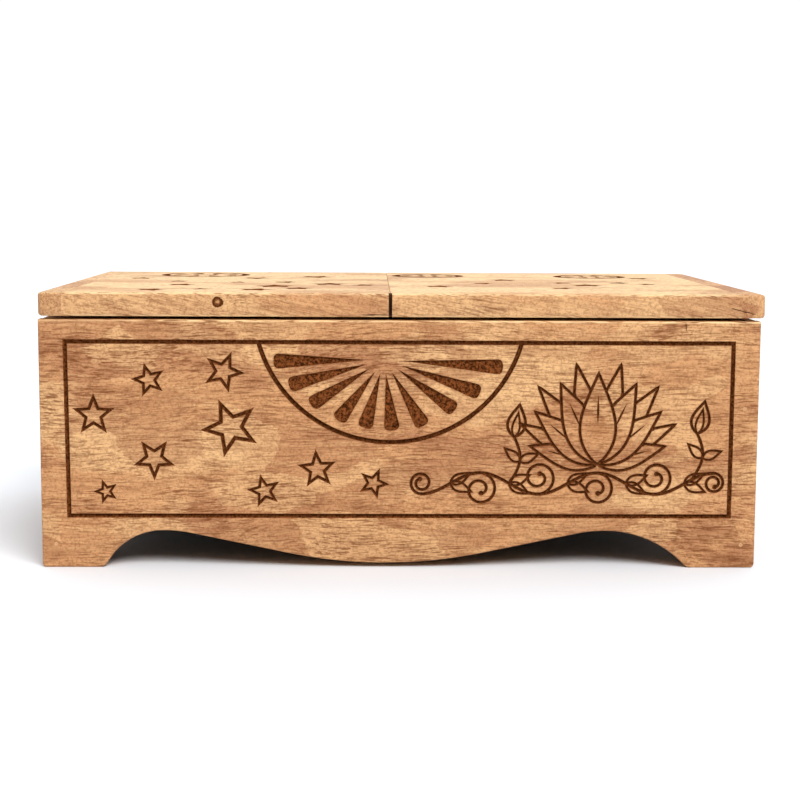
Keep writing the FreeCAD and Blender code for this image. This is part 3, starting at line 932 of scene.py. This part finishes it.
class Pocket:
    """Carved hollow with steep sides and a rough floor; its outline runs anticlockwise."""

    def __init__(self, outline, depth):
        self.outline = np.asarray(outline, float)
        self.edge = Groove(self.outline, 1.0, 1.0, closed=True)
        self.depth = depth

    def lines(self):
        """Outline at the surface, and the edge of the scorched wood round it."""
        shift = inset(self.outline, -POCKET_SCORCH) - self.outline
        reach = np.minimum(np.linalg.norm(shift, axis=1), 1.5 * POCKET_SCORCH)
        return [(self.outline, True), (self.outline + unit(shift) * reach[:, None], True)]

    def inside(self, places):
        """Which places lie inside the outline."""
        ends = np.roll(self.outline, -1, axis=0)
        within = np.zeros(len(places), bool)
        for (x0, y0), (x1, y1) in zip(self.outline, ends):
            spans = (y0 > places[:, 1]) != (y1 > places[:, 1])
            crossing = x0 + (places[:, 1] - y0) * (x1 - x0) / (y1 - y0 if y1 != y0 else 1e-9)
            within ^= spans & (places[:, 0] < crossing)
        return within

    def carve(self, places):
        """Depth at places, and how scorched the wood is there."""
        apart = self.edge.distance(places)[0]
        within = self.inside(places)
        depth = np.where(within, self.depth * np.clip(apart / POCKET_WALL, 0.0, 1.0), 0.0)
        scorch = np.where(within, POCKET_FLOOR_SCORCH, np.clip(1 - apart / POCKET_SCORCH, 0.0, 1.0))
        return depth, scorch

    def loose_points(self, draw):
        """Jittered points over the floor and along the foot of the wall."""
        low = self.outline.min(axis=0)
        high = self.outline.max(axis=0)
        columns = np.arange(low[0], high[0], POCKET_GRAIN)
        rows = np.arange(low[1], high[1], POCKET_GRAIN)
        grid = np.stack(np.meshgrid(columns, rows), axis=-1).reshape(-1, 2)
        grid = grid + draw.uniform(-POCKET_JITTER, POCKET_JITTER, grid.shape) * POCKET_GRAIN
        apart = self.edge.distance(grid)[0]
        return grid[self.inside(grid) & (apart > POCKET_WALL * 0.75)]


def star_corners(centre, radius, turn, waist=STAR_WAIST):
    """Corners of a five-pointed star, anticlockwise; turn is in degrees."""
    angles = math.radians(turn) + math.pi / 5 * np.arange(10)
    reach = radius * np.where(np.arange(10) % 2, waist, 1.0)
    return np.asarray(centre) + reach[:, None] * np.stack((np.cos(angles), np.sin(angles)), axis=1)


def star(centre, radius, turn, depth):
    """Outline of a five-pointed star as a carved line with sharp mitred tips."""
    width = STAR_LINE_WIDTH + STAR_LINE_GROWTH * radius
    step = math.pi / 5
    half_tip = math.atan2(STAR_WAIST * math.sin(step), 1 - STAR_WAIST * math.cos(step))
    point_radius = radius - width / 2 / math.sin(half_tip)
    return Groove(star_corners(centre, point_radius, turn), width, depth, closed=True)


def tear(tip, end, half_width, bulge, depth):
    """Tear-shaped pocket from a pointed tip to a blunt end with rounded corners."""
    tip = np.asarray(tip, float)
    end = np.asarray(end, float)
    way = unit(end - tip)
    angles = np.linspace(0.0, math.pi, PETAL_END_POINTS)
    across = np.sign(np.cos(angles)) * np.abs(np.cos(angles)) ** PETAL_END_POWER
    ahead = np.sin(angles) ** PETAL_END_POWER
    cap = end - bulge * way + half_width * across[:, None] * -left_of(way) + bulge * ahead[:, None] * way
    return Pocket(np.concatenate((tip[None], cap)), depth)


def fan(carving):
    """Hanging half-round fan with its petals."""
    half_angle = math.acos(1 - FAN_DROP / FAN_RADIUS)
    down = -math.pi / 2
    rim = arc(FAN_CENTRE, FAN_RADIUS, down - half_angle, down + half_angle, FAN_STEPS)
    pieces = [Groove(rim, carving.line_width / MM, carving.line_depth / MM, floor=LINE_FLOOR)]
    depth = carving.petal_depth / MM
    for degrees, reach in PETALS:
        angle = math.radians(degrees)
        way = np.array((math.sin(angle), -math.cos(angle)))
        tip = HUB + way / math.hypot(way[0] / HUB_HALF_WIDTH, way[1] / HUB_HALF_HEIGHT)
        pieces.append(tear(tip, HUB + way * reach, PETAL_HALF_WIDTH, PETAL_END_BULGE, depth))
    return pieces


def leaning(degrees):
    """Way that leans clockwise from upright."""
    angle = math.radians(degrees)
    return np.array((math.sin(angle), math.cos(angle)))


def mirrored(lean):
    """Leans to both sides, or the one upright."""
    return (-lean, lean) if lean else (lean,)


def leaf_outline(base, lean, length, width, steps):
    """Pointed leaf or petal from its base; lean is from upright, clockwise, in degrees."""
    share = np.linspace(0.0, 1.0, steps)
    half = width / 2 * np.sin(math.pi * share ** LEAF_BELLY) * (1 - LEAF_NARROWING * share)
    way = leaning(lean)
    side = np.array((way[1], -way[0]))
    spine = np.asarray(base) + length * share[:, None] * way
    right = spine + half[:, None] * side
    left = spine - half[:, None] * side
    return np.concatenate((right, left[-2:0:-1]))


def visible_runs(outline, nearer):
    """Stretches of a closed outline that no nearer outline covers."""
    points = np.concatenate((outline, outline[:1]))
    covered = np.zeros(len(points), bool)
    for other in nearer:
        covered |= Pocket(other, 1.0).inside(points)
    runs = []
    run = []
    for point, hidden in zip(points, covered):
        if hidden:
            runs.append(run)
            run = []
        else:
            run.append(point)
    runs.append(run)
    return [np.array(run) for run in runs if len(run) > 2]


def flower(width, depth):
    """Open flower with two rows of pointed petals."""
    lines = []
    nearer = []
    base = np.array((FLOWER_X, FLOWER_BASE))
    for lean, length, petal_width in FLOWER_PETALS:
        size = (length, petal_width, FLOWER_PETAL_POINTS)
        outlines = [leaf_outline(base, each, *size) for each in mirrored(lean)]
        for outline in outlines:
            lines += [Groove(run, width, depth) for run in visible_runs(outline, nearer)]
        nearer += outlines
    for lean, length, _ in FLOWER_PETALS[:FRONT_PETALS]:
        for each in mirrored(lean):
            vein = base + np.linspace(*VEIN_SPAN, VEIN_POINTS)[:, None] * length * leaning(each)
            line = (width * FINE_LINE[0], depth * FINE_LINE[1])
            lines.append(Groove(vein, *line, taper=(VEIN_TAPER, VEIN_TAPER)))
    return lines


def curl(start, radius, start_angle, way, width, depth):
    """Spiral that leaves a stem and winds inwards; its bud is a small round pocket."""
    share = np.linspace(0.0, 1.0, CURL_POINTS)
    centre = np.asarray(start) - radius * np.array((math.cos(start_angle), math.sin(start_angle)))
    reach = CURL_END_RADIUS + (radius - CURL_END_RADIUS) * (1 - share) ** CURL_POWER
    angles = start_angle + way * 2 * math.pi * CURL_TURNS * share
    points = centre + reach[:, None] * np.stack((np.cos(angles), np.sin(angles)), axis=1)
    bud = arc(points[-1], CURL_BUD_RADIUS, 0.0, 2 * math.pi, BUD_STEPS)[:-1]
    return [Groove(points, width, depth), Pocket(bud, depth)]


def vine_height(x):
    """Height of the running stem."""
    return VINE_HEIGHT + VINE_SWING * np.cos(2 * math.pi * (x - FLOWER_X) / VINE_WAVE)


def vine(width, depth):
    """Running stem under the flower, with curls, leaves and two buds."""
    first = FLOWER_X - 1.5 * VINE_WAVE
    last = FLOWER_X + VINE_WAVE
    stem_x = np.linspace(first, last, STEM_POINTS)
    pieces = [Groove(np.stack((stem_x, vine_height(stem_x)), axis=1), width * STEM_LINE, depth)]
    up = math.pi / 2
    for index in range(-2, 2):
        x = FLOWER_X + index * VINE_WAVE / 2
        side = 1 if index % 2 else -1
        pieces += curl((x, vine_height(x)), CURL_RADIUS, -side * up, side, width, depth)
    pieces += curl((first, vine_height(first)), FIRST_CURL_RADIUS, -up, -1, width, depth)
    pieces += curl((last, vine_height(last)), LAST_CURL_RADIUS, up, -1, width, depth)

    def add_leaf(base, lean, size, points, line):
        """Outline of a leaf, whose line has shares of the full width and depth."""
        outline = leaf_outline(base, lean, *size, points)
        pieces.append(Groove(outline, width * line[0], depth * line[1], closed=True))

    for index in range(-3, 2):
        x = FLOWER_X + (index + 0.5) * VINE_WAVE / 2
        side = 1 if index % 2 else -1
        for lean in VINE_LEAF_LEANS:
            leaf_lean = side * lean + 90 * (1 - side)
            add_leaf((x, vine_height(x)), leaf_lean, VINE_LEAF, LEAF_POINTS, LEAF_LINE)
    for from_flower, lean in STALKS:
        x = FLOWER_X + from_flower
        rise = np.linspace(0.0, 1.0, STALK_POINTS)
        bow = STALK_BOW * np.sin(math.pi * rise) + STALK_RUN * rise
        stalk = np.array((x, vine_height(x))) + np.stack((bow, STALK_HEIGHT * rise), axis=1)
        pieces.append(Groove(stalk, width, depth))
        add_leaf(stalk[-1], lean, BUD, BUD_POINTS, FULL_LINE)
        add_leaf(stalk[-1], lean, BUD_HEART, LEAF_POINTS, FINE_LINE)
        for side in (-1, 1):
            leaf_lean = lean + side * STALK_LEAF_LEAN
            add_leaf(stalk[STALK_POINTS // 2 - 1], leaf_lean, STALK_LEAF, LEAF_POINTS, LEAF_LINE)
    return pieces


def front_carving(carving):
    """Everything cut into the front."""
    border = (
        (-FIELD_X + BORDER_LEAN, BORDER_BOTTOM),
        (FIELD_X, BORDER_BOTTOM),
        (FIELD_X, FIELD_TOP),
        (-FIELD_X - BORDER_LEAN, FIELD_TOP),
    )
    line = (carving.line_width / MM, carving.line_depth / MM)
    pieces = [Groove(border, *line, closed=True, floor=LINE_FLOOR)]
    pieces += fan(carving)
    for across, up, radius, turn in STARS:
        centre = ((2 * across - 1) * FIELD_X, BORDER_BOTTOM + up * FIELD_HEIGHT)
        pieces.append(star(centre, radius, turn, carving.star_depth / MM))
    width = carving.vine_width / MM
    depth = carving.star_depth / MM
    return pieces + flower(width, depth) + vine(width, depth)


def rosette(centre, radius, depth):
    """Ring with eight tear-shaped petals and a ringed heart."""
    pieces = []
    for share, width in ROSETTE_RINGS:
        ring = arc(centre, radius * share, 0.0, 2 * math.pi, RING_STEPS)[:-1]
        pieces.append(Groove(ring, width, depth, closed=True, floor=0.5))
    inner, outer = ROSETTE_PETAL_SPAN
    half_width, bulge = ROSETTE_PETAL_END
    step = 2 * math.pi / ROSETTE_PETALS
    for angle in np.arange(ROSETTE_PETALS) * step + step / 2:
        way = np.array((math.cos(angle), math.sin(angle))) * radius
        ends = (centre + way * inner, centre + way * outer)
        pieces.append(tear(*ends, radius * half_width, radius * bulge, depth))
    return pieces


def lid_carving(seam, joint, carving):
    """Rosettes and stars that lie between the seam and the joint of one lid half."""
    low = min(seam, joint)
    high = max(seam, joint)
    depth = carving.lid_depth / MM
    pieces = []
    for centre, radius in ROSETTES:
        if low < centre[0] < high:
            pieces += rosette(np.asarray(centre), radius, depth)
    for centre, radius, turn in LID_STARS:
        if low < centre[0] < high:
            pieces.append(Pocket(star_corners(centre, radius, turn, LID_STAR_WAIST), depth))
    return pieces


def new_object(name, mesh):
    """Object for a mesh, in the scene."""
    made = bpy.data.objects.new(name, mesh)
    bpy.context.scene.collection.objects.link(made)
    return made


def new_mesh(name, form):
    """Mesh of a finished form."""
    mesh = bpy.data.meshes.new(name)
    form.to_mesh(mesh)
    form.free()
    return mesh


def add_skin(form, loops):
    """Faces between loops of points, and over the first and the last loop."""
    for near, far in zip(loops, loops[1:]):
        for index, vertex in enumerate(near):
            after = (index + 1) % len(near)
            form.faces.new((vertex, near[after], far[after], far[index]))
    form.faces.new(loops[0])
    form.faces.new(loops[-1])


def rounded_rings(outline, thickness, near, far):
    """Outlines and depths of a board whose near and far edges are rounded over."""
    quarter = np.linspace(0.0, math.pi / 2, ROUND_STEPS + 1)
    near = np.broadcast_to(np.asarray(near, float), len(outline))
    far = np.broadcast_to(np.asarray(far, float), len(outline))
    rings = [(inset(outline, near * (1 - math.sin(a))), near.max() * (1 - math.cos(a))) for a in quarter]
    drop = far.max()
    if drop == 0:
        return rings + [(outline, thickness)]
    for angle in quarter:
        depth = thickness - drop * (1 - math.sin(angle))
        rings.append((inset(outline, far * (1 - math.cos(angle))), depth))
    return rings


def board_mesh(name, rings, place):
    """Closed mesh over the rings of a board."""
    form = bmesh.new()
    loops = [[form.verts.new(place(u, v, depth)) for u, v in outline] for outline, depth in rings]
    add_skin(form, loops)
    bmesh.ops.recalc_face_normals(form, faces=form.faces)
    return new_mesh(name, form)


def block(low, high):
    """Plain block between two corners in millimetres, used only to cut or to join."""
    form = bmesh.new()
    bmesh.ops.create_cube(form, size=1.0)
    size = (np.asarray(high) - np.asarray(low)) * MM
    middle = (np.asarray(high) + np.asarray(low)) / 2 * MM
    fitted = Matrix.Translation(middle) @ Matrix.Diagonal((*size, 1.0))
    bmesh.ops.transform(form, matrix=fitted, verts=form.verts)
    return new_object("joinery_tool", new_mesh("joinery_tool", form))


def joinery(mesh, cuts=(), joins=()):
    """Mesh with blocks cut away and joined on; each block is a pair of corners."""
    board = new_object("board_in_work", mesh)
    tools = []
    for operation, blocks in (("UNION", joins), ("DIFFERENCE", cuts)):
        for low, high in blocks:
            tool = block(low, high)
            tools.append(tool)
            step = board.modifiers.new("joinery", "BOOLEAN")
            step.operation = operation
            step.solver = "EXACT"
            step.object = tool
    bpy.context.view_layer.update()
    shaped = bpy.data.meshes.new_from_object(board.evaluated_get(bpy.context.evaluated_depsgraph_get()))
    for leftover in tools + [board]:
        data = leftover.data
        bpy.data.objects.remove(leftover)
        bpy.data.meshes.remove(data)
    return shaped


def carve_face(mesh, outline, pieces, place, axis, seed):
    """Replace the flat near face of a board, which is square to an axis, by a carved one."""
    draw = np.random.default_rng(seed)
    level = place(0.0, 0.0, 0.0)[axis]
    points = []
    edges = []

    def add_line(line, closed):
        """Points of a line and the edges between them."""
        first = len(points)
        points.extend(line)
        last = len(points) - 1
        edges.extend((index, index + 1) for index in range(first, last))
        if closed:
            edges.append((last, first))

    add_line(outline, True)
    for piece in pieces:
        for line, closed in piece.lines():
            add_line(line, closed)
        points.extend(piece.loose_points(draw))
    result = delaunay_2d_cdt([Vector(point) for point in points], edges, [], INSIDE_OUTLINE, SAME_POINT)
    places = np.array([tuple(point) for point in result[0]])
    depth = np.zeros(len(places))
    scorch = np.zeros(len(places))
    for piece in pieces:
        piece_depth, piece_scorch = piece.carve(places)
        if isinstance(piece, Pocket):
            piece_depth = piece_depth * draw.uniform(POCKET_SHALLOWEST, 1.0, len(places))
        depth = np.maximum(depth, piece_depth)
        scorch = np.maximum(scorch, piece_scorch)

    form = bmesh.new()
    form.from_mesh(mesh)
    flat = [face for face in form.faces if all(abs(v.co[axis] - level) < TOUCHING * MM for v in face.verts)]
    bmesh.ops.delete(form, geom=flat, context="FACES_ONLY")
    carved = form.verts.layers.float.new("carved")
    scorched = form.verts.layers.float.new("scorch")
    vertices = []
    for (u, v), vertex_depth, vertex_scorch in zip(places, depth, scorch):
        vertex = form.verts.new(place(u, v, vertex_depth))
        vertex[carved] = vertex_depth
        vertex[scorched] = vertex_scorch
        vertices.append(vertex)
    for face in result[2]:
        form.faces.new([vertices[index] for index in face])
    bmesh.ops.remove_doubles(form, verts=form.verts, dist=WELD * MM)
    bmesh.ops.recalc_face_normals(form, faces=form.faces)
    form.to_mesh(mesh)
    form.free()


def finish_piece(name, mesh, body, node, material):
    """Object for a finished mesh, riding its body in place of its node."""
    mesh.name = name
    mesh.materials.clear()
    mesh.materials.append(material)
    mesh.polygons.foreach_set("use_smooth", [True] * len(mesh.polygons))
    mesh.set_sharp_from_angle(angle=SHARP_ANGLE)
    piece = new_object(name, mesh)
    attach(piece, body)
    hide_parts(node)


def on_front(u, v, depth):
    """Point of the front panel from across, up and depth, in metres."""
    return Vector((u, FRONT_Y + depth, v)) * MM


def on_lid(u, v, depth):
    """Point of a lid from across, away and depth below its top, in metres."""
    return Vector((u, v, LID_TOP - depth)) * MM


def strip_outline(joint, end, radius):
    """End strip of the lid from above, anticlockwise, with rounded outer corners."""
    low = min(joint, end)
    high = max(joint, end)
    points = []
    quarter = math.pi / 2
    for x, y, turn in ((low, -1, 2), (high, -1, 3), (high, 1, 0), (low, 1, 1)):
        corner = np.array((x, y * LID_EDGE_Y))
        if x == end:
            way = np.array((1 if x == low else -1, -y))
            start = turn * quarter
            points.append(arc(corner + radius * way, radius, start, start + quarter, CORNER_STEPS))
        else:
            points.append(corner[None])
    return np.concatenate(points)


def lid_board_outline(seam, joint):
    """Lid board from above, anticlockwise; it closes up at the seam behind nicked corners."""
    way = math.copysign(1.0, seam - joint)
    closed = SEAM_X - way * SEAM_GAP / 2
    nick_y = LID_EDGE_Y - SEAM_NICK
    side = [(seam, -LID_EDGE_Y), (seam, -nick_y), (closed, -nick_y)]
    side += [(x, -y) for x, y in reversed(side)]
    far = [(joint, LID_EDGE_Y), (joint, -LID_EDGE_Y)]
    return np.array(side + far if way > 0 else side[::-1] + far[::-1])


def edge_middles(outline):
    """Middle of each edge of a closed outline."""
    return (outline + np.roll(outline, -1, axis=0)) / 2


def tongue_block(joint, clearance=0.0):
    """Corners of the tongue that a lid board has in its end strip."""
    way = math.copysign(1.0, joint - SEAM_X)
    low, high = sorted((joint - way * CUT_PAST, joint + way * (TONGUE_LENGTH + clearance)))
    half_y = LID_EDGE_Y - TONGUE_STOP + clearance
    half_z = TONGUE_HALF_THICKNESS + clearance
    middle = LID_TOP - LID_THICKNESS / 2
    return (low, -half_y, middle - half_z), (high, half_y, middle + half_z)


class KEEPSAKE_OT_carved_front(Operator):
    """Build the carved front panel with its scalloped apron"""

    bl_idname = "keepsake.carved_front"
    bl_label = "Carved Front"

    def execute(self, context):
        carving = context.scene.keepsake_carving
        arris = carving.wall_arris / MM
        outline = front_outline()
        rings = rounded_rings(outline, PANEL_THICKNESS, arris, 0.0)
        mesh = board_mesh("carved_front", rings, on_front)
        past = FRONT_Y + PANEL_THICKNESS + CUT_PAST
        groove_end = BOTTOM_HIGH[0] + GROOVE_CLEARANCE
        runner_y = BATTEN_LOW[1] - RUNNER_CLEARANCE
        cuts = [
            (
                (-groove_end, BOTTOM_LOW[1] - GROOVE_CLEARANCE, BOTTOM_LOW[2] - GROOVE_CLEARANCE),
                (groove_end, past, BOTTOM_HIGH[2] + GROOVE_CLEARANCE),
            ),
            (
                (-INNER_X, runner_y, BATTEN_LOW[2] - RUNNER_CLEARANCE),
                (INNER_X, past, WALL_TOP - RUNNER_DROP),
            ),
        ]
        for inner, outer in ((INNER_X, HALF_LENGTH + CUT_PAST), (-HALF_LENGTH - CUT_PAST, -INNER_X)):
            cuts.append(((inner, REBATE_Y, -CUT_PAST), (outer, past, WALL_TOP + CUT_PAST)))
        mesh = joinery(mesh, cuts)
        carve_face(mesh, rings[0][0], front_carving(carving), on_front, axis=1, seed=FRONT_SEED)
        # the top edge is painted pale: wear, and a painted highlight on the arris
        board = Board("x", 4.0, wear_and_highlight=(WALL_TOP,), wear_and_highlight_strength=0.95, crack=FRONT_CRACK, carved=True)
        material = Wood("carved_wood", board).material
        finish_piece("carved_front", mesh, "box", "front_panel", material)
        return {"FINISHED"}


class KEEPSAKE_OT_carved_lid(Operator):
    """Build both lid boards with the carving on their tops"""

    bl_idname = "keepsake.carved_lid"
    bl_label = "Carved Lid Boards"

    def execute(self, context):
        carving = context.scene.keepsake_carving
        arris = carving.lid_arris / MM
        for seed, (side, (seam, joint, _)) in enumerate(LID_HALVES.items(), LID_SEED):
            name = f"carved_{side}_lid"
            outline = lid_board_outline(seam, joint)
            from_middle = np.abs(edge_middles(outline)[:, 1])
            sizes = np.where(from_middle > LID_EDGE_Y - TOUCHING, arris, SEAM_ARRIS)
            rings = rounded_rings(outline, LID_THICKNESS, sizes, sizes)
            mesh = joinery(board_mesh(name, rings, on_lid), joins=[tongue_block(joint)])
            carve_face(mesh, rings[0][0], lid_carving(seam, joint, carving), on_lid, axis=2, seed=seed)
            board = Board(
                grain="x",
                seed=seed,
                pale=1.0,
                brown=0.3,
                pores=0.8,
                slope=0.2,
                shine=0.4,
                # edges and the whole top are painted pale: wear, and painted sheen on the top
                wear_and_highlight=(LID_LOW, LID_TOP),
                wear_and_highlight_strength=0.85,
                carved=True,
                # the seam's nicks are painted dark: dirt and painted shade in the gap
                seam_dirt_and_shade=True,
                **LID_FLAWS[side],
            )
            material = Wood(f"{side}_lid_wood", board).material
            finish_piece(name, mesh, f"{side}_lid", f"{side}_lid_board", material)
        return {"FINISHED"}


class KEEPSAKE_OT_lid_strips(Operator):
    """Build the cross strips at the outer ends of the lid"""

    bl_idname = "keepsake.lid_strips"
    bl_label = "Lid End Strips"

    def execute(self, context):
        carving = context.scene.keepsake_carving
        for seed, (side, (_, joint, end)) in enumerate(LID_HALVES.items(), STRIP_SEED):
            name = f"{side}_lid_strip"
            outline = strip_outline(joint, end, carving.corner_radius / MM)
            from_joint = np.abs(edge_middles(outline)[:, 0] - joint)
            sizes = np.where(from_joint < TOUCHING, JOINT_ARRIS, carving.lid_arris / MM)
            rings = rounded_rings(outline, LID_THICKNESS, sizes, sizes)
            mesh = joinery(board_mesh(name, rings, on_lid), cuts=[tongue_block(joint, TONGUE_CLEARANCE)])
            looks = STRIP_LOOKS[side]
            # edges and the whole top are painted pale: wear, and painted sheen on the top
            board = Board("y", seed, pores=0.6, shine=0.4, wear_and_highlight=(LID_LOW, LID_TOP), **looks)
            material = Wood(f"{side}_strip_wood", board).material
            finish_piece(name, mesh, f"{side}_lid", f"{side}_lid_end_strip", material)
        return {"FINISHED"}


class KEEPSAKE_OT_corner_filler(Operator):
    """Build the stopping over the corner brads"""

    bl_idname = "keepsake.corner_filler"
    bl_label = "Corner Filler"

    def execute(self, context):
        draw = np.random.default_rng(FILLER_SEED)
        form = bmesh.new()
        for side_y in (-1, 1):
            for side_x in (-1, 1):
                for height in BRAD_HEIGHTS:
                    self.add_plug(form, draw, side_x * BRAD_X, side_y, height)
        bmesh.ops.recalc_face_normals(form, faces=form.faces)
        mesh = new_mesh("corner_filler", form)
        mesh.materials.append(filler_finish("filler", context.scene.keepsake_finish.filler))
        piece = new_object("corner_filler", mesh)
        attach(piece, "box")
        return {"FINISHED"}

    @staticmethod
    def add_plug(form, draw, x, side_y, z):
        """One smeared plug, hardly proud of the panel's face."""
        angles = np.arange(FILLER_STEPS) * 2 * math.pi / FILLER_STEPS
        rim = FILLER_RADIUS * draw.uniform(0.8, 1.15, FILLER_STEPS)
        loops = []
        for share, lift in FILLER_PROFILE:
            across = x + share * rim * np.cos(angles)
            up = z + share * rim * np.sin(angles)
            y = side_y * (-FRONT_Y + lift)
            loops.append([form.verts.new(Vector((u, y, v)) * MM) for u, v in zip(across, up)])
        add_skin(form, loops)


def dress(nodes, material):
    """Give nodes that keep their own shape a finish."""
    for name in nodes:
        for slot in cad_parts[name].material_slots:
            slot.material = material


class KEEPSAKE_OT_plain_boards(Operator):
    """Finish the back, the ends, the bottom and the battens"""

    bl_idname = "keepsake.plain_boards"
    bl_label = "Plain Boards"

    def execute(self, context):
        boards = {
            # top edges painted pale: wear, and painted highlight
            "back_panel": Board("x", 31.0, wear_and_highlight=(WALL_TOP,)),
            "left_end_panel": Board("y", 32.0, wear_and_highlight=(WALL_TOP,)),
            "right_end_panel": Board("y", 33.0, wear_and_highlight=(WALL_TOP,)),
            # the underside is painted near-black: painted shade under the box
            "bottom_board": Board("x", 34.0, pale=0.7, underside_shade=UNDERSIDE_SHADE_TOP),
            "left_lid_batten": Board("y", 35.0, pale=0.7),
            "right_lid_batten": Board("y", 36.0, pale=0.6),
        }
        for node, board in boards.items():
            dress([node], Wood(f"{node}_wood", board).material)
        return {"FINISHED"}


class KEEPSAKE_OT_metalwork(Operator):
    """Finish the batten screws and the corner brads"""

    bl_idname = "keepsake.metalwork"
    bl_label = "Screws and Brads"

    def execute(self, context):
        colours = context.scene.keepsake_finish
        brass = metal_finish("brass", tuple(colours.brass), 0.25, 5.0)
        steel = metal_finish("steel", tuple(colours.steel), 0.4, 9.0)
        dress(["left_batten_screws", "right_batten_screws"], brass)
        dress([f"{wall}_{side}_brads" for wall in ("front", "back") for side in ("left", "right")], steel)
        return {"FINISHED"}


class KEEPSAKE_OT_stage(Operator):
    """Set the floor, the light and the camera"""

    bl_idname = "keepsake.stage"
    bl_label = "Stage"

    def execute(self, context):
        stage = context.scene.keepsake_stage
        self.add_floor(stage)
        self.add_surround(context.scene, stage)
        self.add_key(context.scene, stage)
        self.add_camera(context.scene, stage)
        context.scene.view_settings.view_transform = "Standard"
        return {"FINISHED"}

    @staticmethod
    def add_floor(stage):
        """Large matt sheet under the box."""
        form = bmesh.new()
        bmesh.ops.create_grid(form, x_segments=8, y_segments=8, size=FLOOR_HALF_SIZE)
        mesh = new_mesh("floor", form)
        mesh.materials.append(floor_finish("floor", tuple(stage.floor)))
        new_object("floor", mesh)

    @staticmethod
    def add_surround(scene, stage):
        """White room: bright behind and overhead, dim low down in front."""
        world = bpy.data.worlds.new("surround")
        world.use_nodes = True
        nodes = Nodes(world.node_tree)
        away, up = nodes.parts(nodes.node("ShaderNodeTexCoord", output="Generated"))[1:]
        behind = away.step(-0.1, 0.4) * (1 - up.step(0.15, 0.6) * 0.4)
        glow = stage.front_fill + behind * (stage.backdrop - stage.front_fill)
        glow = glow + up.step(0.25, 0.8) * stage.overhead
        sky = nodes.node("ShaderNodeBackground", None, {"Color": (1.0, 1.0, 1.0, 1.0), "Strength": glow})
        nodes.node("ShaderNodeOutputWorld", None, {"Surface": sky})
        scene.world = world

    @staticmethod
    def add_key(scene, stage):
        """Wide soft light from the upper right in front."""
        lamp = bpy.data.lights.new("key_light", "SUN")
        lamp.energy = stage.key
        lamp.angle = KEY_WIDTH
        light = bpy.data.objects.new("key_light", lamp)
        light.rotation_euler = Vector(KEY_WAY).to_track_quat("-Z", "Y").to_euler()
        scene.collection.objects.link(light)

    @staticmethod
    def add_camera(scene, stage):
        """Camera at the photograph's angle."""
        yaw = stage.camera_yaw
        pitch = stage.camera_pitch
        right = Vector((math.cos(yaw), -math.sin(yaw), 0.0))
        ahead = Vector((math.sin(yaw) * math.cos(pitch), math.cos(yaw) * math.cos(pitch), -math.sin(pitch)))
        turn = Matrix((right, right.cross(ahead), -ahead)).transposed()
        turn = turn @ Matrix.Rotation(stage.camera_roll, 3, "Z")
        data = bpy.data.cameras.new("camera")
        data.lens = stage.lens
        data.sensor_width = SENSOR_WIDTH
        data.clip_end = VIEW_DISTANCE
        camera = bpy.data.objects.new("camera", data)
        camera.matrix_world = Matrix.Translation(stage.camera_place) @ turn.to_4x4()
        scene.collection.objects.link(camera)
        scene.camera = camera


OPERATORS = (
    KEEPSAKE_OT_carved_front,
    KEEPSAKE_OT_carved_lid,
    KEEPSAKE_OT_lid_strips,
    KEEPSAKE_OT_corner_filler,
    KEEPSAKE_OT_plain_boards,
    KEEPSAKE_OT_metalwork,
    KEEPSAKE_OT_stage,
)
SETTINGS = {
    "keepsake_carving": CarvingSettings,
    "keepsake_finish": FinishSettings,
    "keepsake_stage": StageSettings,
}


class KEEPSAKE_PT_panel(Panel):
    """Sidebar panel with the settings and the pieces"""

    bl_label = "Keepsake Box"
    bl_space_type = "VIEW_3D"
    bl_region_type = "UI"
    bl_category = "Keepsake Box"

    def draw(self, context):
        for name, group in SETTINGS.items():
            settings = getattr(context.scene, name)
            column = self.layout.column(align=True)
            for key in group.__annotations__:
                column.prop(settings, key)
        for operator in OPERATORS:
            self.layout.operator(operator.bl_idname)


CLASSES = (*SETTINGS.values(), *OPERATORS, KEEPSAKE_PT_panel)


def register():
    """Add the classes and their settings."""
    for added in CLASSES:
        bpy.utils.register_class(added)
    for name, group in SETTINGS.items():
        setattr(bpy.types.Scene, name, PointerProperty(type=group))


def unregister():
    """Take the classes and their settings away again."""
    for name in SETTINGS:
        delattr(bpy.types.Scene, name)
    for added in reversed(CLASSES):
        bpy.utils.unregister_class(added)


def main():
    """Build every piece and the stage."""
    register()
    bpy.ops.keepsake.carved_front()
    bpy.ops.keepsake.carved_lid()
    bpy.ops.keepsake.lid_strips()
    bpy.ops.keepsake.corner_filler()
    bpy.ops.keepsake.plain_boards()
    bpy.ops.keepsake.metalwork()
    bpy.ops.keepsake.stage()


if __name__ == "__main__":
    main()
